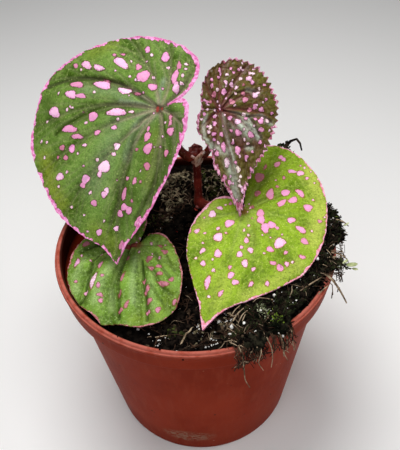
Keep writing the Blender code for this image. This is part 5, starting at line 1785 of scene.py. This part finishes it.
def buildMat(at, paint):
    columns, rows = moss["columns"], moss["rows"]
    mesh = bmesh.new()
    bmesh.ops.create_grid(mesh, x_segments=columns, y_segments=rows, size=0.5)
    tops = {}
    for vert in mesh.verts:
        angle = mix(moss["from"], moss["to"], vert.co.x + 0.5)
        vert.co, tops[vert.index] = at(angle, vert.co.y + 0.5)[:2]
    mesh.verts.index_update()
    made = bmesh.ops.extrude_face_region(mesh, geom=list(mesh.faces))["geom"]
    lifted = [item for item in made if isinstance(item, bmesh.types.BMVert)]
    for vert in lifted:
        vert.tag = True
    firsts = [vert for vert in mesh.verts if not vert.tag]
    pairs = {tuple(round(part, 5) for part in vert.co): tops[i] for i, vert in enumerate(firsts)}
    for vert in lifted:
        vert.co = pairs[tuple(round(part, 5) for part in vert.co)]
    bmesh.ops.recalc_face_normals(mesh, faces=mesh.faces)
    makePiece("moss_bed", mesh, [paint], ["moss_mat"], 180)


tufts = {
    "kinds": 6,
    "leaves": 11,
    "scatter": 0.05,  # of a patch across the mat
    "leastBody": 0.15,
    "clear": 0.4,
    "leastSize": 0.8,
    "sunk": 0.25,
    "lean": 0.7,
    "width": 0.9,
}


def mossShoot(dice):
    # a short leafy shoot that points up, one unit long
    mesh = bmesh.new()
    for i in range(tufts["leaves"]):
        t = (i + 0.5) / tufts["leaves"]
        angle = i * 2.4 + dice.uniform(-0.4, 0.4)
        out = Vector((math.cos(angle), math.sin(angle), 0.9 + 0.6 * t)).normalized()
        side = out.cross(Vector((0, 0, 1))).normalized()
        foot = Vector((0, 0, t))
        reach = 0.42 * (1 - 0.45 * t)
        middle = foot + out * reach * 0.5
        corners = (foot - side * 0.05, middle + side * 0.12, foot + out * reach, middle - side * 0.12)
        made = bmesh.ops.create_circle(mesh, cap_ends=True, radius=1.0, segments=4)["verts"]
        for vert, corner in zip(made, corners):
            vert.co = corner
    bmesh.ops.create_cone(
        mesh, cap_ends=True, segments=4, radius1=0.09, radius2=0.03, depth=1.0,
        matrix=Matrix.Translation((0, 0, 0.5)),
    )
    bmesh.ops.triangulate(mesh, faces=mesh.faces)
    return asData("shoot", mesh)


def towards(direction, dice, lean):
    loose = Vector(direction) + Vector([dice.uniform(-lean, lean) for i in range(3)])
    spin = Matrix.Rotation(dice.uniform(0, 2 * math.pi), 3, "Z")
    return loose.normalized().to_track_quat("Z", "Y").to_matrix() @ spin


def buildTufts(at, name, paint, count, seed, sizes, patches=()):
    dice = random.Random(seed)
    shapes = [mossShoot(dice) for i in range(tufts["kinds"])]
    spots = [(mix(moss["from"], moss["to"], dice.random()), dice.random()) for i in range(count)]
    for bearing, share, wide, number in patches:
        for i in range(number):
            angle = math.radians(bearing + dice.gauss(0, wide))
            spots.append((angle, min(1, max(0, share + dice.gauss(0, tufts["scatter"])))))
    bits = []
    for angle, share in spots:
        top, outward, body = at(angle, share)[1:]
        inTangle = math.hypot(top.x, top.y) > moss["tangle"] and angle < moss["frontTo"]
        if body < tufts["leastBody"] or inTangle:
            continue
        room = headroomOf(roof, top)
        size = dice.uniform(*sizes)
        if room is not None:
            size = min(size, max(0.0, room - tufts["clear"]))
        if size < tufts["leastSize"]:
            continue
        foot = top - outward * tufts["sunk"]
        turned = (dice.choice(shapes), foot, towards(outward, dice, tufts["lean"]))
        bits.append((*turned, (size * tufts["width"], size * tufts["width"], size)))
    layBits(name, paint, shapes, bits)


def buildMatCrumbs(at, name, paint, count, seed, sizes, placed=()):
    dice = random.Random(seed)
    shapes = crumbShapes()
    bits = []
    for i in range(count):
        angle = mix(moss["from"], moss["to"], dice.random())
        top = at(angle, dice.random())[1]
        size = dice.uniform(*sizes)
        stretch = (size * dice.uniform(0.6, 1.2), size * dice.uniform(0.6, 1.2), size * 0.7)
        bits.append((dice.choice(shapes), top, randomTurn(dice), stretch))
    for x, y, height, size in placed:
        turned = (dice.choice(shapes), Vector((x, y, height)), randomTurn(dice))
        bits.append((*turned, (size, size * 0.8, size * 0.8)))
    layBits(name, paint, shapes, bits)


matThread = {
    "room": 2.0,  # least room under the leaf
    "lip": 57.0,  # past this radius they are shorter
    "shorter": 0.4,
    "lengths": (3, 9),
    "steps": 6,
    "sagAndBend": (-0.12, 0.45),
}


def buildMatFibres(at, name, paint, count, seed, thickness, placed=()):
    dice = random.Random(seed)
    routes = []
    for i in range(count):
        angle = mix(moss["from"], moss["to"], dice.random())
        top, outward = at(angle, dice.random())[1:3]
        heading = Vector((dice.uniform(-1, 1), dice.uniform(-1, 1), dice.uniform(-0.2, 0.35)))
        heading += outward * 0.35
        start = top + outward * 0.1
        room = headroomOf(roof, start)
        if room is not None and room < matThread["room"]:
            continue
        overLip = math.hypot(start.x, start.y) > matThread["lip"]
        length = dice.uniform(*matThread["lengths"]) * (matThread["shorter"] if overLip else 1)
        thick = dice.uniform(*thickness)
        route = wander(dice, start, heading, length, matThread["steps"], thick, *matThread["sagAndBend"])
        routes.append(route)
    for line, thick in placed:
        bent = smoothCurve(line, 4)
        thins = [1 - 0.5 * (i / len(bent)) ** 2 for i in range(len(bent))]
        routes.append([(Vector(spot), thick * thin) for spot, thin in zip(bent, thins)])
    makePiece(name, strands(routes, sides=1), [paint], [])


hanging = {
    # radius, height, share of the turn, and share of the fall and swing
    "stations": (
        (54.5, 101.2, -1.0, 0.0), (58.5, 101.8, -0.3, 0.0), (61.4, 100.8, 0.2, 0.0),
        (62.4, 98.6, 0.6, 0.0), (62.9, 98.6, 0.2, 0.5), (62.9, 98.6, 0.8, 1.0),
    ),
    "thickness": (0.1, 0.24),
    "outside": 61.4,  # a thread keeps outside this radius
    "below": 99.0,  # where it is lower than this
    # bearings from and to, count, and how far it hangs
    "roots": (
        (-77, -67, 40, (0.5, 6)), (-64, -54, 26, (0.5, 5)), (-30, -6, 24, (0, 3)), (-6, 16, 40, (0.5, 6)),
        (42, 56, 12, (0.5, 4)),
    ),
    "straw": ((-77, -66, 8, (2, 8)), (-62, -55, 8, (3, 9)), (-16, 12, 14, (1, 6))),
}


def buildHanging(name, paint, seed, clumps):
    # roots and dead stalks that lie over the lip and hang a little way down
    dice = random.Random(seed)
    wall = hanging["outside"]
    routes = []
    for low, high, count, drop in clumps:
        for i in range(count):
            bearing = math.radians(dice.uniform(low, high))
            turn = dice.uniform(-0.08, 0.08)
            fall = dice.uniform(*drop)
            swing = dice.uniform(-0.4, 1.2)
            thick = dice.uniform(*hanging["thickness"])
            route = []
            for radius, height, aside, down in hanging["stations"]:
                radius, height = radius + swing * down, height - fall * down
                angle = bearing + turn * aside
                jitter = Vector([dice.uniform(-0.7, 0.7) for j in range(3)])
                spot = around(radius, angle, height) + jitter
                flat = math.hypot(spot.x, spot.y)
                if height < hanging["below"] and flat < wall:
                    spot.x, spot.y = spot.x * wall / flat, spot.y * wall / flat
                route.append((spot, thick))
            routes.append(route)
    makePiece(name, strands(routes, sides=1), [paint], [])


sprigs = {
    "rise": 1.4,  # of their roots over the lip
    # bearing, radius, lean, shoots and leaf size
    "groups": (
        (46, 60.0, (5.0, 6.4, 8.5), 8, 0.85), (-18, 59.5, (5.6, -2.8, 0.8), 6, 0.8),
        (10, 60.5, (3.2, 0.6, 0.0), 4, 0.7),
    ),
    # pale leaves by place, length, width and lean
    "tips": (
        ((63.0, -21.0, 102.2), 2.6, 1.3, (0.9, -0.4, 0.4)),
        ((64.2, -22.6, 101.2), 1.5, 0.7, (0.7, -0.7, 0.4)),
        ((60.6, -19.6, 102.6), 1.4, 0.7, (0.8, 0.3, 0.5)),
        ((66.0, 4.6, 100.2), 1.4, 0.6, (0.9, 0.1, 0.5)),
    ),
    # the hooked stalk at the back, as points and thicknesses, and the box of the clump at its foot
    "hook": (
        ((45, 53, 106.5), 0.8), ((47.5, 52, 111), 0.75), ((50, 50.5, 113.2), 0.7),
        ((51.6, 49.2, 111.5), 0.65), ((52.4, 48, 108.2), 0.5),
    ),
    "clump": ((41, 48), (52.5, 56.5), (103.5, 107.6)),
    "clumpCount": 36,
}


def addSprigLeaf(mesh, place, turn, size, subdivisions=1, bend=0.0):
    made = bmesh.ops.create_icosphere(mesh, subdivisions=subdivisions, radius=1.0)["verts"]
    for vert in made:
        vert.co.z += bend * vert.co.x * vert.co.x
    shape = Matrix.Translation(place) @ turn.to_4x4() @ Matrix.Diagonal((*size, 1.0))
    bmesh.ops.transform(mesh, matrix=shape, verts=made)


def buildSprigs(leafPaint, twigPaint, paleLeaf):
    dice = random.Random(31)
    twigs, mesh, pale = [], bmesh.new(), bmesh.new()
    for bearing, radius, lean, shoots, size in sprigs["groups"]:
        angle = math.radians(bearing)
        root = around(radius, angle, pot["height"] + sprigs["rise"])
        for i in range(shoots):
            spread = Vector((dice.uniform(-3, 3), dice.uniform(-3, 3), dice.uniform(-1.5, 1.0)))
            base = root + Vector((spread.x * 0.5, spread.y * 0.5, 0))
            end = root + Vector(lean) * dice.uniform(0.5, 0.95) + spread * 0.9
            middle = base.lerp(end, 0.5) + Vector((0, 0, 0.6))
            twigs.append([(base, 0.4), (base.lerp(middle, 0.6), 0.36), (middle, 0.3), (end, 0.16)])
            for j in range(8):
                spot = base.lerp(end, 0.2 + 0.1 * j) + Vector([dice.uniform(-0.7, 0.7) for k in range(3)])
                turn = towards((dice.uniform(-1, 1), dice.uniform(-1, 1), 0.7), dice, 0.3)
                addSprigLeaf(mesh, spot, turn, (size, size * 0.6, 0.2))
    for spot, length, width, lean in sprigs["tips"]:
        turn = Vector(lean).to_track_quat("X", "Z").to_matrix()
        addSprigLeaf(pale, spot, turn, (length, width, 0.3), 2, 0.35)
    twigs.append([(Vector(spot), thick) for spot, thick in sprigs["hook"]])
    for i in range(sprigs["clumpCount"]):
        spot = Vector([dice.uniform(low, high) for low, high in sprigs["clump"]])
        addSprigLeaf(mesh, spot, randomTurn(dice), (1.0, 0.7, 0.4))
    makePiece("sprig_twigs", strands(twigs, sides=0), [twigPaint], [])
    makePiece("sprig_leaves", mesh, [leafPaint], [], 180)
    makePiece("sprig_tips", pale, [paleLeaf], [], 180)


lipDirt = {
    # bearings from and to, count, and radii from and to
    "arcs": ((-34, 20, 380, 51.5, 58.9), (-62, -34, 90, 51.5, 57.6), (20, 58, 150, 51.5, 58.9)),
    "inwards": 1.6,
    "sizes": (0.35, 1.0),
    "lip": ((52.0, 57.0, 57.4, 58.4, 58.9), (97.0, 98.4, 99.4, 100.0, 99.7)),  # radii and their heights
    "placed": (
        (-14.5, -56.5, 100.3, 0.45), (-8.9, -56.8, 100.3, 0.4), (-6.1, -60.4, 98.6, 0.4),
        (-30.4, -49.6, 100.3, 0.3), (-3.2, -57.4, 100.3, 0.3), (4.0, -57.8, 100.3, 0.35),
        (9.6, -57.0, 100.3, 0.4), (16.8, -38.4, 99.6, 0.5),
    ),
}


def buildLipDirt(paint, seed):
    # dirt on the lip and against it inside, beside and under the mat
    dice = random.Random(seed)
    shapes = crumbShapes()
    bits = []
    for low, high, count, inner, outer in lipDirt["arcs"]:
        for i in range(count):
            angle = math.radians(dice.uniform(low, high))
            radius = mix(inner, outer, dice.random() ** lipDirt["inwards"])
            size = dice.uniform(*lipDirt["sizes"])
            level = float(np.interp(radius, *lipDirt["lip"]))
            place = around(radius, angle, level + size * 0.3)
            bits.append((dice.choice(shapes), place, randomTurn(dice), (size, size * 0.8, size * 0.7)))
    for x, y, height, size in lipDirt["placed"]:
        turned = (dice.choice(shapes), Vector((x, y, height)), randomTurn(dice))
        bits.append((*turned, (size, size, size * 0.6)))
    layBits("lip_dirt", paint, shapes, bits)


darkMoss = paintPlain("dark_moss", srgb(9, 9, 7), srgb(44, 42, 32), 2.0, 1.0, 0.7, 0.02)
greenShoot = paintPlain("green_shoot", srgb(16, 21, 13), srgb(66, 74, 46), 6.0, 0.9, 0.2, 0.04)
brightShoot = paintPlain("bright_shoot", srgb(96, 122, 34), srgb(156, 180, 74), 4.0, 0.9, 0.2, 0.05)
brownShoot = paintPlain("brown_shoot", srgb(15, 12, 10), srgb(62, 52, 42), 6.0, 0.9, 0.2, 0.04)
lichen = paintPlain("lichen", srgb(150, 156, 118), srgb(218, 220, 190), 3.0, 0.9, 0.2)
paleLeaf = paintPlain("pale_leaf", srgb(150, 160, 110), srgb(214, 220, 176), 5.0, 0.8, 0.2)
straws = (
    # a bundle, two long ones, the broad one at the right and the spike
    ([(13.1, -46.7, 102.4), (15.2, -44.0, 103.4), (17.6, -41.0, 102.6)], 0.26),
    ([(15.0, -47.8, 102.2), (16.8, -45.0, 103.6), (19.0, -42.3, 102.8)], 0.22),
    ([(12.4, -44.4, 102.2), (14.4, -41.8, 103.0), (16.4, -39.4, 102.4)], 0.2),
    ([(16.6, -47.0, 102.4), (18.0, -44.4, 103.2)], 0.22),
    ([(11.4, -42.6, 102.0), (13.4, -44.6, 102.6)], 0.24),
    ([(40.4, -33.6, 102.4), (45.0, -31.4, 104.0), (49.6, -27.7, 103.0)], 0.3),
    ([(47.1, -35.7, 102.2), (49.6, -33.8, 103.2), (51.9, -31.6, 102.4)], 0.26),
    (
        [
            (51.5, -25.7, 102.6), (54.0, -28.4, 101.8), (56.2, -31.2, 99.6), (58.0, -32.8, 96.6),
            (59.6, -33.2, 93.0),
        ],
        0.5,
    ),
    ([(61.6, 6.4, 101.6), (64.4, 5.4, 101.4), (67.0, 4.2, 99.4)], 0.34),
    ([(56.0, -14.0, 102.6), (60.0, -15.6, 102.2), (62.8, -15.4, 99.0), (63.6, -14.6, 95.0)], 0.26),
    ([(45.0, 35.0, 101.8), (47.0, 31.6, 102.8), (50.0, 30.0, 101.8)], 0.3),
)
roots = (
    (
        [
            (14.9, -54.0, 101.6), (15.3, -57.8, 101.0), (15.6, -60.6, 98.4), (16.2, -61.8, 92.0),
            (16.6, -62.2, 86.4), (18.4, -62.6, 81.6),
        ],
        0.28,
    ),
    ([(25.0, -54.4, 101.6), (26.4, -57.4, 99.6), (27.0, -58.6, 95.0), (26.6, -59.4, 89.6)], 0.24),
    ([(29.6, -52.4, 101.4), (31.2, -55.0, 98.8), (31.4, -56.0, 94.2), (33.2, -56.6, 89.4)], 0.24),
    ([(22.2, -55.0, 101.6), (22.6, -59.4, 99.4), (21.6, -60.8, 95.0), (23.4, -61.6, 91.0)], 0.2),
)
matPerlite = (  # x, y, height, size
    (29.9, -35.8, 103.0, 0.8), (31.2, -53.7, 100.8, 0.6), (11.6, -51.8, 101.0, 0.7),
    (17.2, -48.3, 102.8, 0.9), (49.4, -18.4, 103.8, 0.9), (24.0, -43.0, 103.2, 0.5),
    (38.0, -39.0, 103.2, 0.5), (21.0, -52.0, 102.4, 0.5), (42.6, -26.0, 103.2, 0.5),
    (33.0, -46.4, 103.0, 0.55), (-9.0, -50.0, 89.6, 0.6),
)
roof = (leafC, readLeaf(leafC))
at = matSurface(roof)
buildMat(at, darkMoss)
buildTufts(at, "moss_green", greenShoot, 1500, 21, (1.4, 2.8), ((-60, 0.9, 3.0, 60),))
buildTufts(at, "moss_brown", brownShoot, 1500, 22, (1.2, 2.4), ((5, 0.93, 6.0, 140),))
buildTufts(at, "moss_bright", brightShoot, 36, 29, (1.0, 1.9), ((-58.5, 0.72, 0.9, 26), (-57, 0.8, 0.8, 16)))
buildTufts(at, "lichen", lichen, 26, 30, (1.0, 2.0), ((-58.5, 0.52, 1.3, 30), (-60, 0.6, 0.9, 16)))
buildMatCrumbs(at, "mat_crumbs", peatCrumb, 1300, 23, (0.4, 1.3))
buildMatCrumbs(at, "mat_chips", bark, 150, 32, (0.3, 0.8))
buildMatCrumbs(at, "mat_grit", perlite, 420, 24, (0.14, 0.38))
buildMatCrumbs(at, "mat_perlite", perlite, 6, 33, (0.3, 0.6), matPerlite)
buildMatFibres(at, "mat_straw", paleFibre, 120, 25, (0.1, 0.22), straws)
buildMatFibres(at, "mat_roots", brownFibre, 300, 26, (0.1, 0.25))
buildHanging("hanging_roots", brownFibre, 27, hanging["roots"])
buildHanging("hanging_straw", paleFibre, 28, hanging["straw"])
buildMatFibres(at, "hanging_pale", paleFibre, 0, 34, (0.1, 0.2), roots)
buildLipDirt(peatCrumb, 35)
buildSprigs(greenShoot, brownShoot, paleLeaf)
print("the moss mat is grown")
